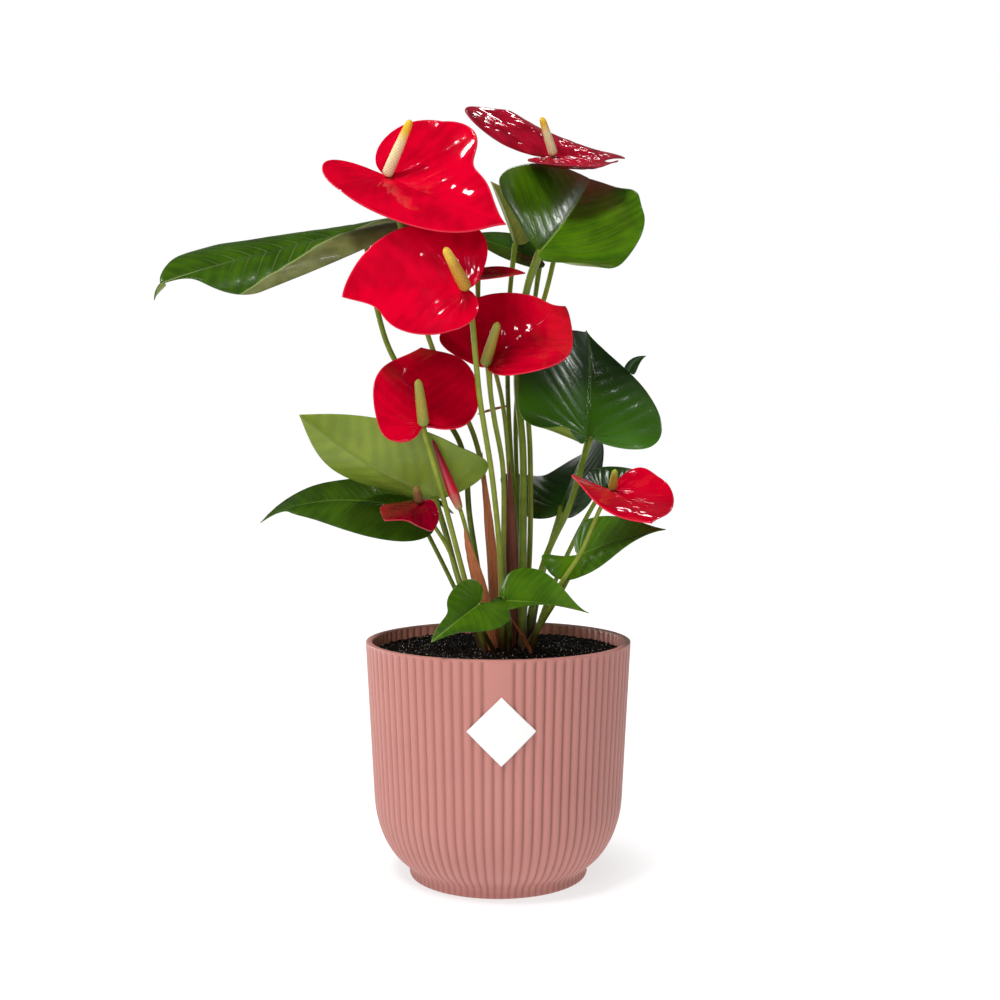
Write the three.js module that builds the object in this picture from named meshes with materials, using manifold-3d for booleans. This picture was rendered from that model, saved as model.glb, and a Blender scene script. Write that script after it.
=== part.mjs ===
// Potted anthurium in a ribbed plastic pot, in millimetres, +Z up.
// The origin is the middle of the pot's underside and -Y is the front.
import * as THREE from 'three';
import { mergeVertices } from 'three/addons/utils/BufferGeometryUtils.js';
import Module from 'manifold-3d';

const wasm = await Module();
wasm.setup();

// Driving dimensions of the pot.
const potHeight = 124;
const rimRadius = 70;
const rimHeight = 3;
const rimEdge = 0.8;
const wallThickness = 3.7;
const footRadius = 47.2;
const footHeight = 5.75;
const footEdge = 0.8;
const bellyRadius = 65.7;
const bellyHeight = 41.7;
const kneeSteps = 4;
const kneeOut = 10.6;
const kneeUp = 5.4;
const kneeDown = 15.9;
const floorThickness = 4;
const innerKneeRadius = 54.6;
const innerKneeHeight = 20.8;
const ribCount = 84;
const ribDepth = 0.9;
const innerRibDepth = 0.5;
const ribTurn = 0.26;
const panelHalfAngle = 5;
const panelFoot = 77;

// Driving dimensions of the label.
const labelSide = 24;
const labelThickness = 0.6;
const labelHeight = 89;
const labelTurn = 1.4;
const labelCells = 6;

// Driving dimensions of the soil and of what grows from it.
const soilLevel = 118;
const soilMound = 1.5;
const moundShare = 0.6;
const soilSides = 42;
const soilFloorGap = 1;
const rootDepth = 12;
const clearance = 0.3;
const stalkSides = 6;
const leafStalkSteps = 9;
const peduncleSteps = 10;
const shortStalkSteps = 8;
const longStalkSteps = 12;

// Driving dimensions of the blades: their thicknesses, how finely they are made, and where the handles
// of a heart's outline lie, as shares of its lobe and of its length ahead of the belly.
const leafThickness = 0.7;
const spatheThickness = 0.8;
const bractThickness = 0.7;
const outlineSteps = 6;
const smallOutlineSteps = 5;
const sheathOutlineSteps = 3;
const ringShares = [0.36, 0.7, 1];
const midribSteps = 16;
const waveCount = 3;
const lobeHandle = 1.33;
const bellyHandle = 0.45;
const tipHandle = 0.8;

// Driving dimensions of the rounded bodies, the spadices and the bud.
const roundSides = 9;
const roundEndSteps = 3;
const roundLengthSteps = 3;
const spadixTipShare = 0.6;
const spadixLift = 0.1;
const budRadius = 2.7;
const budTipShare = 0.25;
const budStalkRadius = 1.2;

// Each finish is a colour and a roughness.
const finishes = {
  pot: [0xc8857a, 0.6],
  soil: [0x1c1613, 0.95],
  label: [0xf6f6f4, 0.5],
  peduncle: [0x93a248, 0.5],
  leaf: [0x3f7a1c, 0.35],
  darkLeaf: [0x24501a, 0.35],
  paleLeaf: [0x7f9a4a, 0.4],
  youngLeaf: [0x6d7a3c, 0.4],
  spathe: [0xc4102c, 0.2],
  darkSpathe: [0x7d1220, 0.2],
  creamSpadix: [0xeee0a8, 0.55],
  goldSpadix: [0xc9962f, 0.55],
  greenSpadix: [0x8f8f3c, 0.55],
  bract: [0xa3563f, 0.6],
  darkBract: [0x5f2a20, 0.6],
};

const part = new THREE.Group();

function add(name, geometry, [color, roughness]) {
  const material = new THREE.MeshStandardMaterial({ color, roughness, metalness: 0 });
  const mesh = new THREE.Mesh(geometry, material);
  mesh.name = name;
  part.add(mesh);
}

// A closed body for joining and cutting: shared corners merged, triangles of no area dropped.
function bodyOf(geometry) {
  const bare = new THREE.BufferGeometry();
  bare.setAttribute('position', geometry.getAttribute('position'));
  bare.setIndex(geometry.getIndex());
  const merged = mergeVertices(bare, 1e-4);
  const index = merged.getIndex().array;
  const kept = [];
  for (let i = 0; i < index.length; i += 3) {
    const [a, b, c] = [index[i], index[i + 1], index[i + 2]];
    if (a !== b && b !== c && c !== a) {
      kept.push(a, b, c);
    }
  }
  const vertProperties = Float32Array.from(merged.getAttribute('position').array);
  return new wasm.Manifold(new wasm.Mesh({ numProp: 3, vertProperties, triVerts: Uint32Array.from(kept) }));
}

function geometryOf(body) {
  const mesh = body.getMesh();
  const geometry = new THREE.BufferGeometry();
  geometry.setAttribute('position', new THREE.BufferAttribute(mesh.vertProperties, 3));
  geometry.setIndex(new THREE.BufferAttribute(mesh.triVerts, 1));
  geometry.computeVertexNormals();
  return geometry;
}

// The radius of the pot's crests: a straight taper from the rim down to the belly.
function sideRadius(height) {
  const share = (height - bellyHeight) / (potHeight - bellyHeight);
  return bellyRadius + (rimRadius - bellyRadius) * share;
}

// The pot's section from the middle of its underside round to the middle of its floor. Each row is a
// radius, a height and how far a groove presses it in.
function potRows() {
  const grooveTop = potHeight - rimHeight;
  const knee = new THREE.CubicBezierCurve(
    new THREE.Vector2(footRadius, footHeight),
    new THREE.Vector2(footRadius + kneeOut, footHeight + kneeUp),
    new THREE.Vector2(sideRadius(bellyHeight - kneeDown), bellyHeight - kneeDown),
    new THREE.Vector2(bellyRadius, bellyHeight),
  );
  return [
    [0, 0, 0],
    [footRadius - footEdge, 0, 0],
    [footRadius, footEdge, 0],
    ...knee.getPoints(kneeSteps).map((point) => [point.x, point.y, ribDepth]),
    [sideRadius(grooveTop), grooveTop, ribDepth],
    [rimRadius, potHeight - rimEdge, 0],
    [rimRadius - rimEdge, potHeight, 0],
    [rimRadius - wallThickness, potHeight, 0],
    [sideRadius(grooveTop) - wallThickness, grooveTop, -innerRibDepth],
    [bellyRadius - wallThickness, bellyHeight, -innerRibDepth],
    [innerKneeRadius, innerKneeHeight, 0],
    [footRadius - wallThickness, floorThickness, 0],
    [0, floorThickness, 0],
  ];
}

// The pot is turned from its section, with two columns to a rib. Every second column is a groove,
// except on the smooth panel at the front.
function potGeometry() {
  const rows = potRows();
  const points = rows.map(([radius, height]) => new THREE.Vector2(radius, height));
  const turn = THREE.MathUtils.degToRad(ribTurn);
  const geometry = new THREE.LatheGeometry(points, 2 * ribCount, turn, 2 * Math.PI);
  geometry.rotateX(Math.PI / 2);
  const position = geometry.getAttribute('position');
  for (let i = 0; i < position.count; i += 1) {
    const [radius, height, press] = rows[i % rows.length];
    const column = Math.floor(i / rows.length);
    const degrees = (column * 180) / ribCount;
    const onPanel = Math.min(degrees, 360 - degrees) < panelHalfAngle && height > panelFoot && press > 0;
    if (column % 2 === 1 && !onPanel && radius > 0) {
      const scale = (radius - press) / radius;
      position.setX(i, position.getX(i) * scale);
      position.setY(i, position.getY(i) * scale);
    }
  }
  return geometry;
}

// The label is a square sheet set on its corner and bent round the pot, just clear of the crests.
function labelGeometry() {
  const geometry = new THREE.BoxGeometry(labelSide, labelThickness, labelSide, labelCells, 1, labelCells);
  geometry.rotateY(Math.PI / 4);
  const position = geometry.getAttribute('position');
  for (let i = 0; i < position.count; i += 1) {
    const height = labelHeight + position.getZ(i);
    const radius = sideRadius(height) + clearance + labelThickness / 2 - position.getY(i);
    const angle = THREE.MathUtils.degToRad(labelTurn) + position.getX(i) / sideRadius(height);
    position.setXYZ(i, radius * Math.sin(angle), -radius * Math.cos(angle), height);
  }
  return geometry;
}

// The soil fills the pot from its floor and swells a little towards the stems.
function soilBody() {
  const wall = bellyRadius - wallThickness;
  const edge = sideRadius(soilLevel) - wallThickness - clearance;
  const points = [
    new THREE.Vector2(0, floorThickness + clearance),
    new THREE.Vector2(footRadius - wallThickness - soilFloorGap, floorThickness + clearance),
    new THREE.Vector2(innerKneeRadius - soilFloorGap, innerKneeHeight),
    new THREE.Vector2(wall - clearance, bellyHeight),
    new THREE.Vector2(edge, soilLevel),
    new THREE.Vector2(edge * moundShare, soilLevel + soilMound * moundShare),
    new THREE.Vector2(0, soilLevel + soilMound),
  ];
  const geometry = new THREE.LatheGeometry(points, soilSides);
  geometry.rotateX(Math.PI / 2);
  return bodyOf(geometry);
}

// A heart-shaped outline in the flat, with the stalk at (0, 0) and the tip ahead. The turn runs from 0
// to 1: round the right lobe and belly to the tip at a half, then back down the left side. Each swell
// is the turn it lies at, how far it pushes the outline out, as a share, and how wide it is.
function flatOutline(blade, turn) {
  const side = turn < 0.5 ? 1 : -1;
  const way = 4 * Math.min(turn, 1 - turn);
  const half = blade.width / 2;
  const lobe = lobeHandle * blade.lobe * (1 + side * (blade.lobeSkew ?? 0));
  const belly = blade.belly * blade.length;
  const ahead = blade.length - belly;
  const behindBelly = new THREE.CubicBezierCurve(
    new THREE.Vector2(0, 0),
    new THREE.Vector2(blade.gap * half, -lobe),
    new THREE.Vector2(half, -lobe),
    new THREE.Vector2(half, belly),
  );
  const aheadOfBelly = new THREE.CubicBezierCurve(
    new THREE.Vector2(half, belly),
    new THREE.Vector2(half, belly + bellyHandle * ahead),
    new THREE.Vector2(blade.taper * half, belly + tipHandle * ahead),
    new THREE.Vector2(0, blade.length),
  );
  const point = way < 1 ? behindBelly.getPoint(way) : aheadOfBelly.getPoint(way - 1);
  point.x *= side * (1 + side * (blade.skew ?? 0));
  const swell = (middle, reach, spread) => reach * Math.exp(-(((turn - middle) / spread) ** 2));
  return point.multiplyScalar((blade.swells ?? []).reduce((sum, one) => sum + swell(...one), 1));
}

// Where the midrib runs: its places and directions at equal steps, bent, swayed and twisted as it goes.
function midribFrames(blade) {
  const rad = THREE.MathUtils.degToRad;
  const start = new THREE.Euler(rad(blade.roll), -rad(blade.rise), rad(blade.azimuth), 'ZYX');
  const turn = new THREE.Quaternion().setFromEuler(start);
  const place = new THREE.Vector3(...blade.joint);
  const frames = [{ place: place.clone(), turn: turn.clone() }];
  for (let i = 0; i < midribSteps; i += 1) {
    const bend = (0.5 + (i + 0.5) / midribSteps) * (blade.droop ?? 0);
    const halfStep = new THREE.Euler(
      rad((blade.twist ?? 0) / midribSteps / 2),
      rad(bend / midribSteps / 2),
      -rad((blade.sway ?? 0) / midribSteps / 2),
      'ZYX',
    );
    const half = new THREE.Quaternion().setFromEuler(halfStep);
    turn.multiply(half);
    const step = new THREE.Vector3(blade.length / midribSteps, 0, 0).applyQuaternion(turn);
    place.add(step);
    turn.multiply(half);
    frames.push({ place: place.clone(), turn: turn.clone() });
  }
  return frames;
}

// The blade's middle surface: the flat heart laid on the midrib, folded along it, its halves curled,
// its lobes bent up and its edge waved.
function bladePlace(blade, frames, share, turn) {
  const rad = THREE.MathUtils.degToRad;
  const flat = flatOutline(blade, turn).multiplyScalar(share);
  const step = THREE.MathUtils.clamp((flat.y / blade.length) * midribSteps, 0, midribSteps - 1e-6);
  const [from, to] = [frames[Math.floor(step)], frames[Math.floor(step) + 1]];
  const place = from.place.clone().lerp(to.place, step % 1);
  const direction = from.turn.clone().slerp(to.turn, step % 1);
  const back = Math.max(-flat.y, 0);
  const lobeAngle = blade.lobe > 0 ? (rad(blade.lobeCurl ?? 0) * back) / blade.lobe / 2 : 0;
  const curl = (flat.x > 0 ? blade.curlRight : blade.curlLeft) ?? 0;
  const across = Math.abs(flat.x);
  const lift = rad((blade.fold ?? 0) + (curl * across) / blade.width);
  const wavePlace = 2 * Math.PI * waveCount * turn + (blade.wavePhase ?? 0);
  const wave = (blade.wave ?? 0) * share ** 2 * Math.sin(wavePlace);
  const offset = new THREE.Vector3(
    Math.max(flat.y - blade.length, 0) - back * Math.cos(lobeAngle),
    -Math.sign(flat.x) * across * Math.cos(lift),
    back * Math.sin(lobeAngle) + across * Math.sin(lift) + wave,
  );
  return place.add(offset.applyQuaternion(direction));
}

// A blade is its middle surface thickened both ways, both faces split into the same triangles and
// closed round the edge.
function bladeGeometry(blade, thickness) {
  const frames = midribFrames(blade);
  const turns = 4 * (blade.steps ?? outlineSteps);
  const reach = thickness / 2;
  const nudge = 0.1 / turns;
  const inward = 0.02;
  const upper = [frames[0].place.clone()];
  const outward = [upperSide(blade)];
  for (const share of ringShares) {
    for (let i = 1; i < turns; i += 1) {
      const turn = i / turns;
      const place = bladePlace(blade, frames, share, turn);
      const out = place.clone().sub(bladePlace(blade, frames, share - inward, turn));
      const round = bladePlace(blade, frames, share, turn + nudge);
      round.sub(bladePlace(blade, frames, share, turn - nudge));
      upper.push(place);
      outward.push(out.cross(round).normalize());
    }
  }
  const across = turns - 1;
  const corner = (ring, i) => 1 + ring * across + i;
  const face = [];
  const edge = [0];
  for (let i = 0; i < across - 1; i += 1) {
    face.push(0, corner(0, i), corner(0, i + 1));
    for (let ring = 0; ring < ringShares.length - 1; ring += 1) {
      face.push(corner(ring, i), corner(ring + 1, i), corner(ring + 1, i + 1));
      face.push(corner(ring, i), corner(ring + 1, i + 1), corner(ring, i + 1));
    }
  }
  for (let ring = 0; ring < ringShares.length - 1; ring += 1) {
    edge.push(corner(ring, 0));
  }
  for (let i = 0; i < across; i += 1) {
    edge.push(corner(ringShares.length - 1, i));
  }
  for (let ring = ringShares.length - 2; ring >= 0; ring -= 1) {
    edge.push(corner(ring, across - 1));
  }
  const count = upper.length;
  const index = [...face];
  for (let i = 0; i < face.length; i += 3) {
    index.push(count + face[i], count + face[i + 2], count + face[i + 1]);
  }
  edge.forEach((here, i) => {
    const next = edge[(i + 1) % edge.length];
    index.push(here, count + here, count + next, here, count + next, next);
  });
  const places = upper.map((place, i) => place.clone().addScaledVector(outward[i], reach));
  places.push(...upper.map((place, i) => place.clone().addScaledVector(outward[i], -reach)));
  const geometry = new THREE.BufferGeometry().setFromPoints(places);
  geometry.setIndex(index);
  geometry.computeVertexNormals();
  return geometry;
}

// A stalk is a round tube along a smooth curve through its points.
function stalkGeometry(points, radius, steps) {
  const curve = new THREE.CatmullRomCurve3(points, false, 'centripetal');
  const section = new THREE.Shape();
  section.absarc(0, 0, radius, 0, 2 * Math.PI);
  const corners = section.getSpacedPoints(stalkSides).slice(0, stalkSides);
  const shape = new THREE.Shape(corners);
  return new THREE.ExtrudeGeometry(shape, { steps, extrudePath: curve });
}

function pointsOf(places) {
  return places.map((place) => new THREE.Vector3(...place));
}

// The side of a blade that its stalk comes to is under this direction.
function upperSide(blade) {
  return new THREE.Vector3(0, 0, 1).applyQuaternion(midribFrames(blade)[0].turn);
}

// What stands in the soil goes on straight down below its root point.
function rooted(points) {
  const root = points[0].clone().setZ(soilLevel - rootDepth);
  return [root, ...points];
}

// Each hole in the soil is the stalk itself, a little wider and deeper.
const holes = [];

function addHole(points, radius, steps) {
  const below = points[0].clone().setZ(points[0].z - clearance);
  holes.push(bodyOf(stalkGeometry([below, ...points.slice(1)], radius + clearance, steps)));
}

// A leaf is its petiole and its blade, grown together, and the drip tip of two leaves curls out on its own.
function addLeaf(name, blade, petiole, finish, dripTip = null) {
  const points = rooted(pointsOf([...petiole.through, blade.joint]));
  const steps = petiole.steps ?? leafStalkSteps;
  const stalk = bodyOf(stalkGeometry(points, petiole.radius, steps));
  const leaf = bodyOf(bladeGeometry(blade, leafThickness)).add(stalk);
  const whole = dripTip ? leaf.add(bodyOf(bladeGeometry(dripTip, leafThickness))) : leaf;
  add(name, geometryOf(whole), finish);
  addHole(points, petiole.radius, steps);
}

// A rounded body that starts at its base and is thinner towards its tip.
function taperedGeometry(base, direction, length, radius, tipShare) {
  const straight = length - 2 * radius;
  const geometry = new THREE.CapsuleGeometry(radius, straight, roundEndSteps, roundSides, roundLengthSteps);
  const position = geometry.getAttribute('position');
  for (let i = 0; i < position.count; i += 1) {
    const share = position.getY(i) / length + 0.5;
    const scale = 1 - (1 - tipShare) * share ** 2;
    position.setX(i, position.getX(i) * scale);
    position.setZ(i, position.getZ(i) * scale);
  }
  const turn = new THREE.Quaternion().setFromUnitVectors(new THREE.Vector3(0, 1, 0), direction);
  geometry.applyQuaternion(turn);
  const middle = base.clone().addScaledVector(direction, length / 2 - radius);
  geometry.translate(middle.x, middle.y, middle.z);
  return geometry;
}

// A flower is a peduncle, the spathe seated on its end and the spadix that stands on the spathe.
function addFlower(name, spathe, peduncle, spadix, finish) {
  const up = upperSide(spathe);
  const joint = new THREE.Vector3(...spathe.joint);
  const points = rooted(pointsOf(peduncle.through));
  const way = joint.clone().sub(points[points.length - 1]).normalize();
  const tilt = Math.sqrt(Math.max(1 - way.dot(up) ** 2, 0));
  const seat = spatheThickness / 2 + clearance;
  points.push(joint.clone().addScaledVector(up, -seat - peduncle.radius * tilt));
  const steps = peduncle.steps ?? peduncleSteps;
  add(`${name}_peduncle`, stalkGeometry(points, peduncle.radius, steps), finishes.peduncle);
  addHole(points, peduncle.radius, steps);
  add(`${name}_spathe`, bladeGeometry(spathe, spatheThickness), finish);
  const base = joint.clone().addScaledVector(up, seat + spadixLift + spadix.radius);
  const lean = new THREE.Vector3(...spadix.lean).normalize();
  const round = taperedGeometry(base, lean, spadix.length, spadix.radius, spadixTipShare);
  add(`${name}_spadix`, round, spadix.finish);
}

// The flowers. A spathe's joint is where its peduncle meets it; azimuth is the way its tip points,
// turned from +X towards +Y, and rise is how far it points up.
addFlower(
  'flower_high_left',
  {
    joint: [-56, -12, 364], azimuth: -45, rise: -24, roll: 29, length: 78, width: 76, lobe: 29, gap: 0.06,
    belly: 0.11, taper: 0.22, droop: 13, sway: -17, twist: 21, curlLeft: 26, curlRight: 6, fold: 8,
    lobeCurl: 9, wave: 1, wavePhase: 6.1, skew: -0.1,
    swells: [
      [0.05, 0.18, 0.1], [0.24, -0.1, 0.11], [0.39, 0.12, 0.07], [0.64, -0.13, 0.03], [0.68, 0.09, 0.05],
    ],
  },
  { through: [[-1, 3, 118], [-5, 2, 184], [-12, 2, 229], [-34, -3, 276], [-43, -6, 307]], radius: 1.5 },
  { lean: [13, -14, 24], length: 32, radius: 2.7, finish: finishes.creamSpadix },
  finishes.spathe,
);
addFlower(
  'flower_large',
  {
    joint: [-16, -48, 303], azimuth: 170, rise: 11, roll: -65, length: 65, width: 65, lobe: 9, gap: 0.08,
    belly: 0.21, taper: 0.36, droop: 15, sway: -25, twist: -17, fold: 7, skew: 0.12,
    swells: [[0.08, -0.21, 0.05], [0.28, -0.08, 0.07], [0.58, -0.12, 0.06], [0.95, 0.3, 0.09]],
  },
  {
    through: [[2, -8, 118], [1, -13, 167], [-3, -24, 210], [-9, -38, 249], [-11, -44, 269], [-13, -47, 290]],
    radius: 1.6,
  },
  { lean: [-9, -14, 16], length: 26, radius: 2.9, finish: finishes.goldSpadix },
  finishes.spathe,
);
addFlower(
  'flower_middle',
  {
    joint: [-5, -23, 267], azimuth: 22, rise: 40, roll: 29, length: 57, width: 73, lobe: 8, gap: 0.28,
    belly: 0.22, taper: 0.28, droop: 15, twist: 34, curlLeft: 7, curlRight: 14, fold: 8, lobeCurl: 33,
    wave: 0.5, wavePhase: 5.5, lobeSkew: -0.18,
    swells: [[0.11, -0.3, 0.1], [0.53, -0.06, 0.04], [0.83, 0.15, 0.05], [0.93, -0.48, 0.07]],
  },
  { through: [[4, -4, 118], [2.8, -6, 166], [2.4, -11, 215], [-2, -18, 240], [-4, -22, 254]], radius: 1.5 },
  { lean: [6.5, -14, 20], length: 26, radius: 2.7, finish: finishes.greenSpadix },
  finishes.spathe,
);
addFlower(
  'flower_front',
  {
    joint: [-38, -35, 237], azimuth: 99, rise: 60, roll: 5, length: 51, width: 55, lobe: 8, gap: 0.1,
    belly: 0.28, taper: 0.37, droop: 13, sway: 7, curlRight: 30, fold: 4, wave: 2.7, wavePhase: 0.5,
    skew: 0.09, lobeSkew: -0.36,
    swells: [[0.1, 0.15, 0.07], [0.37, 0.05, 0.07], [0.85, 0.1, 0.04]],
  },
  { through: [[-7, -12, 118], [-17, -20, 157], [-25, -27, 189], [-30, -33, 209]], radius: 1.5 },
  { lean: [-2, -12, 21], length: 26, radius: 2.7, finish: finishes.greenSpadix },
  finishes.spathe,
);
addFlower(
  'flower_right',
  {
    joint: [56, -44, 204], azimuth: -72, rise: -14, roll: -12, length: 49, width: 51, lobe: 12, gap: 0.26,
    belly: 0.17, taper: 0.37, droop: 13, sway: -7, curlLeft: 51, lobeCurl: 31, wave: 2.7, wavePhase: 3.9,
    skew: -0.09, lobeSkew: -0.24,
    swells: [[0.08, -0.14, 0.06], [0.17, 0.14, 0.05], [0.29, -0.09, 0.2], [0.52, -0.05, 0.06]],
  },
  {
    through: [[17, -13, 118], [29, -30, 152], [42, -39, 174], [51, -43, 196]],
    radius: 1.2,
    steps: shortStalkSteps,
  },
  { lean: [0.6, -8, 9], length: 13, radius: 2, finish: finishes.creamSpadix },
  finishes.spathe,
);
addFlower(
  'flower_high_right',
  {
    joint: [29, 41, 386], azimuth: 35, rise: 7, roll: 42, length: 51, width: 81, lobe: 37, gap: 0.07,
    belly: 0.12, taper: 0.29, droop: 5, twist: -22, curlLeft: -10, curlRight: 35, fold: 6, lobeCurl: 17,
    wave: 0.8, wavePhase: 4.7, skew: -0.11, lobeSkew: -0.27,
    swells: [[0.22, 0.22, 0.1], [0.4, -0.26, 0.08], [0.57, 0.23, 0.09], [0.78, 0.17, 0.04]],
  },
  {
    through: [
      [12, 11, 118], [16.5, 10, 162], [17, 10, 223], [15, 11, 261], [18, 15, 285], [26, 22, 310],
      [32, 35, 341],
    ],
    radius: 1.5,
    steps: longStalkSteps,
  },
  { lean: [-7, -8, 19], length: 22, radius: 2.4, finish: finishes.creamSpadix },
  finishes.spathe,
);
addFlower(
  'flower_low_left',
  {
    joint: [-40, -31, 197], azimuth: 220, rise: -15, roll: -12, length: 23, width: 31, lobe: 5, gap: 0.1,
    belly: 0.16, taper: 0.4, droop: 7, sway: -6, twist: -15, curlLeft: -38, curlRight: -22, fold: -4,
    lobeCurl: 37, wave: 1.5, wavePhase: 2.9,
    swells: [[0.28, 0.2, 0.09], [0.61, -0.07, 0.05], [0.74, 0.09, 0.03], [0.93, 0.12, 0.05]],
    steps: smallOutlineSteps,
  },
  { through: [[-7, -7, 118], [-19, -13, 154], [-26, -19, 174]], radius: 1.2, steps: shortStalkSteps },
  { lean: [-1, -5, 8], length: 10, radius: 2, finish: finishes.goldSpadix },
  finishes.darkSpathe,
);
addFlower(
  'flower_behind',
  {
    joint: [-11, 7, 316], azimuth: -15, rise: 4, roll: 24, length: 26, width: 22, lobe: 6, gap: 0.2,
    belly: 0.2, taper: 0.3, droop: 6, fold: 6,
    steps: smallOutlineSteps,
  },
  { through: [[7, 6, 118], [7, 4, 176], [6, 2, 208], [2, -0.5, 250], [-10, 4, 297]], radius: 1.3 },
  { lean: [-2, -4, 9], length: 9, radius: 1.7, finish: finishes.goldSpadix },
  finishes.spathe,
);

// The bud is a spathe still rolled round its spadix.
const budStalk = pointsOf([[-3, -5, 118], [-11, -13, 156], [-17, -24, 186]]);
const budBase = new THREE.Vector3(-20, -29, 196);
const budTip = new THREE.Vector3(-34, -32, 232);
const budWay = budTip.clone().sub(budBase).normalize();
const budSeat = budBase.clone().addScaledVector(budWay, -budRadius - 2 * clearance);
const budStalkPoints = [...rooted(budStalk), budSeat];
add('bud_peduncle', stalkGeometry(budStalkPoints, budStalkRadius, shortStalkSteps), finishes.peduncle);
addHole(budStalkPoints, budStalkRadius, shortStalkSteps);
const budLength = budTip.distanceTo(budBase);
add('bud', taperedGeometry(budBase, budWay, budLength, budRadius, budTipShare), finishes.spathe);

// The leaves.
addLeaf(
  'leaf_long_left',
  {
    joint: [-71, 11, 340], azimuth: 202, rise: -14, roll: -6, length: 117, width: 59, lobe: 36, gap: 0.18,
    belly: 0.6, taper: 0.26, droop: 6, sway: -10, twist: -24, curlLeft: -87, curlRight: -39, fold: 24,
    wave: 0.7, wavePhase: 4.8, lobeSkew: -0.2,
    swells: [[0.17, -0.08, 0.06], [0.56, -0.07, 0.07]],
  },
  { through: [[-5, 9, 118], [-15, 9, 186], [-21, 8, 229], [-55, 6, 272], [-64, 6, 298]], radius: 1.6 },
  finishes.leaf,
  {
    joint: [-166.3, -35.9, 306.9], azimuth: 205, rise: -45, roll: 30, length: 10, width: 6, lobe: 1,
    gap: 0.6, belly: 0.1, taper: 0.2, droop: 40, steps: sheathOutlineSteps,
  },
);
addLeaf(
  'leaf_high_right',
  {
    joint: [22, -6, 328], azimuth: 55, rise: 35, roll: 48, length: 88, width: 89, lobe: 15, gap: 0.24,
    belly: 0.2, taper: 0.3, droop: 16, sway: -13, twist: -23, curlRight: 12, fold: 25, lobeCurl: 51,
    wave: 2.2, wavePhase: 3.8, skew: 0.06, lobeSkew: 0.5,
    swells: [[0.37, 0.07, 0.03], [0.62, 0.05, 0.07], [0.83, 0.09, 0.05]],
  },
  { through: [[13, 1, 118], [13, 1, 163], [13, 1, 223], [10, 2, 264], [15, 0, 308]], radius: 2.1 },
  finishes.leaf,
);
addLeaf(
  'leaf_young',
  {
    joint: [9, 19, 335], azimuth: 150, rise: 68, roll: -20, length: 38, width: 26, lobe: 3, gap: 0.2,
    belly: 0.3, taper: 0.3, droop: 5, fold: 50,
    steps: smallOutlineSteps,
  },
  { through: [[10, 15, 118], [10, 14, 165], [7, 14, 218], [5, 15, 261], [6, 18, 305]], radius: 1.4 },
  finishes.youngLeaf,
);
addLeaf(
  'leaf_behind',
  {
    joint: [23, 31, 328], azimuth: 170, rise: 22, roll: -45, length: 46, width: 24, lobe: 5, gap: 0.2,
    belly: 0.2, taper: 0.3, droop: 10, fold: 10,
    steps: smallOutlineSteps,
  },
  { through: [[13, 17, 118], [12, 19, 164], [10, 24, 251], [17, 29, 286]], radius: 1.4 },
  finishes.darkLeaf,
);
addLeaf(
  'leaf_right',
  {
    joint: [49, 11, 231], azimuth: 84, rise: 58, roll: 30, length: 84, width: 86, lobe: 14, gap: 0.35,
    belly: 0.14, taper: 0.06, droop: 20, sway: 4, twist: 16, curlLeft: -19, fold: 19, lobeCurl: 54,
    skew: -0.08, lobeSkew: -0.49,
    swells: [[0.49, -0.06, 0.11], [0.68, 0.05, 0.12], [0.93, 0.42, 0.05]],
  },
  { through: [[14, 5, 118], [25, 5, 166], [38, 7, 194], [43, 8, 210]], radius: 1.9, steps: shortStalkSteps },
  finishes.darkLeaf,
  {
    joint: [73.4, 45.8, 267.6], azimuth: 0, rise: 72, roll: 90, length: 14, width: 7, lobe: 1, gap: 0.6,
    belly: 0.1, taper: 0.1, sway: 60, steps: sheathOutlineSteps,
  },
);
addLeaf(
  'leaf_pale_left',
  {
    joint: [-33, -15, 200], azimuth: 189, rise: 23, roll: 32, length: 83, width: 61, lobe: 16, gap: 0.35,
    belly: 0.1, taper: 0.27, droop: 7, sway: -29, twist: 31, curlLeft: 14, fold: 22, lobeCurl: 2,
    wave: 3.4, wavePhase: 3.7, skew: -0.12, lobeSkew: -0.12,
    swells: [[0.2, 0.25, 0.11], [0.88, 0.11, 0.06]],
  },
  { through: [[-9, -2, 118], [-21, -7, 157], [-28, -9, 183]], radius: 1.7, steps: shortStalkSteps },
  finishes.paleLeaf,
);
addLeaf(
  'leaf_low_left',
  {
    joint: [-44, 13, 191], azimuth: 202, rise: 17, roll: -38, length: 88, width: 45, lobe: 14, gap: 0.12,
    belly: 0.19, taper: 0.12, droop: 62, curlLeft: -41, curlRight: -7, fold: 10, lobeCurl: -13, wave: 1.2,
    wavePhase: 2.9, lobeSkew: 0.2,
    swells: [[0.3, -0.21, 0.07], [0.41, 0.05, 0.08], [0.55, -0.08, 0.04], [0.71, 0.06, 0.08]],
  },
  { through: [[-9, 5, 118], [-24, 5, 152]], radius: 1.3, steps: shortStalkSteps },
  finishes.leaf,
);
addLeaf(
  'leaf_back_right',
  {
    joint: [35, 28, 193], azimuth: 73, rise: 39, roll: -24, length: 78, width: 60, lobe: 13, gap: 0.12,
    belly: 0.17, taper: 0.13, droop: 29, twist: -33, curlLeft: 49, fold: 12, lobeCurl: -12, wave: 1.9,
    wavePhase: 5.2, lobeSkew: 0.31,
    swells: [
      [0.16, 0.14, 0.04], [0.43, -0.18, 0.04], [0.67, -0.15, 0.04], [0.76, 0.24, 0.04], [0.88, 0.22, 0.05],
    ],
  },
  { through: [[17, 11, 118], [23, 16, 153]], radius: 1.7, steps: shortStalkSteps },
  finishes.darkLeaf,
);
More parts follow.
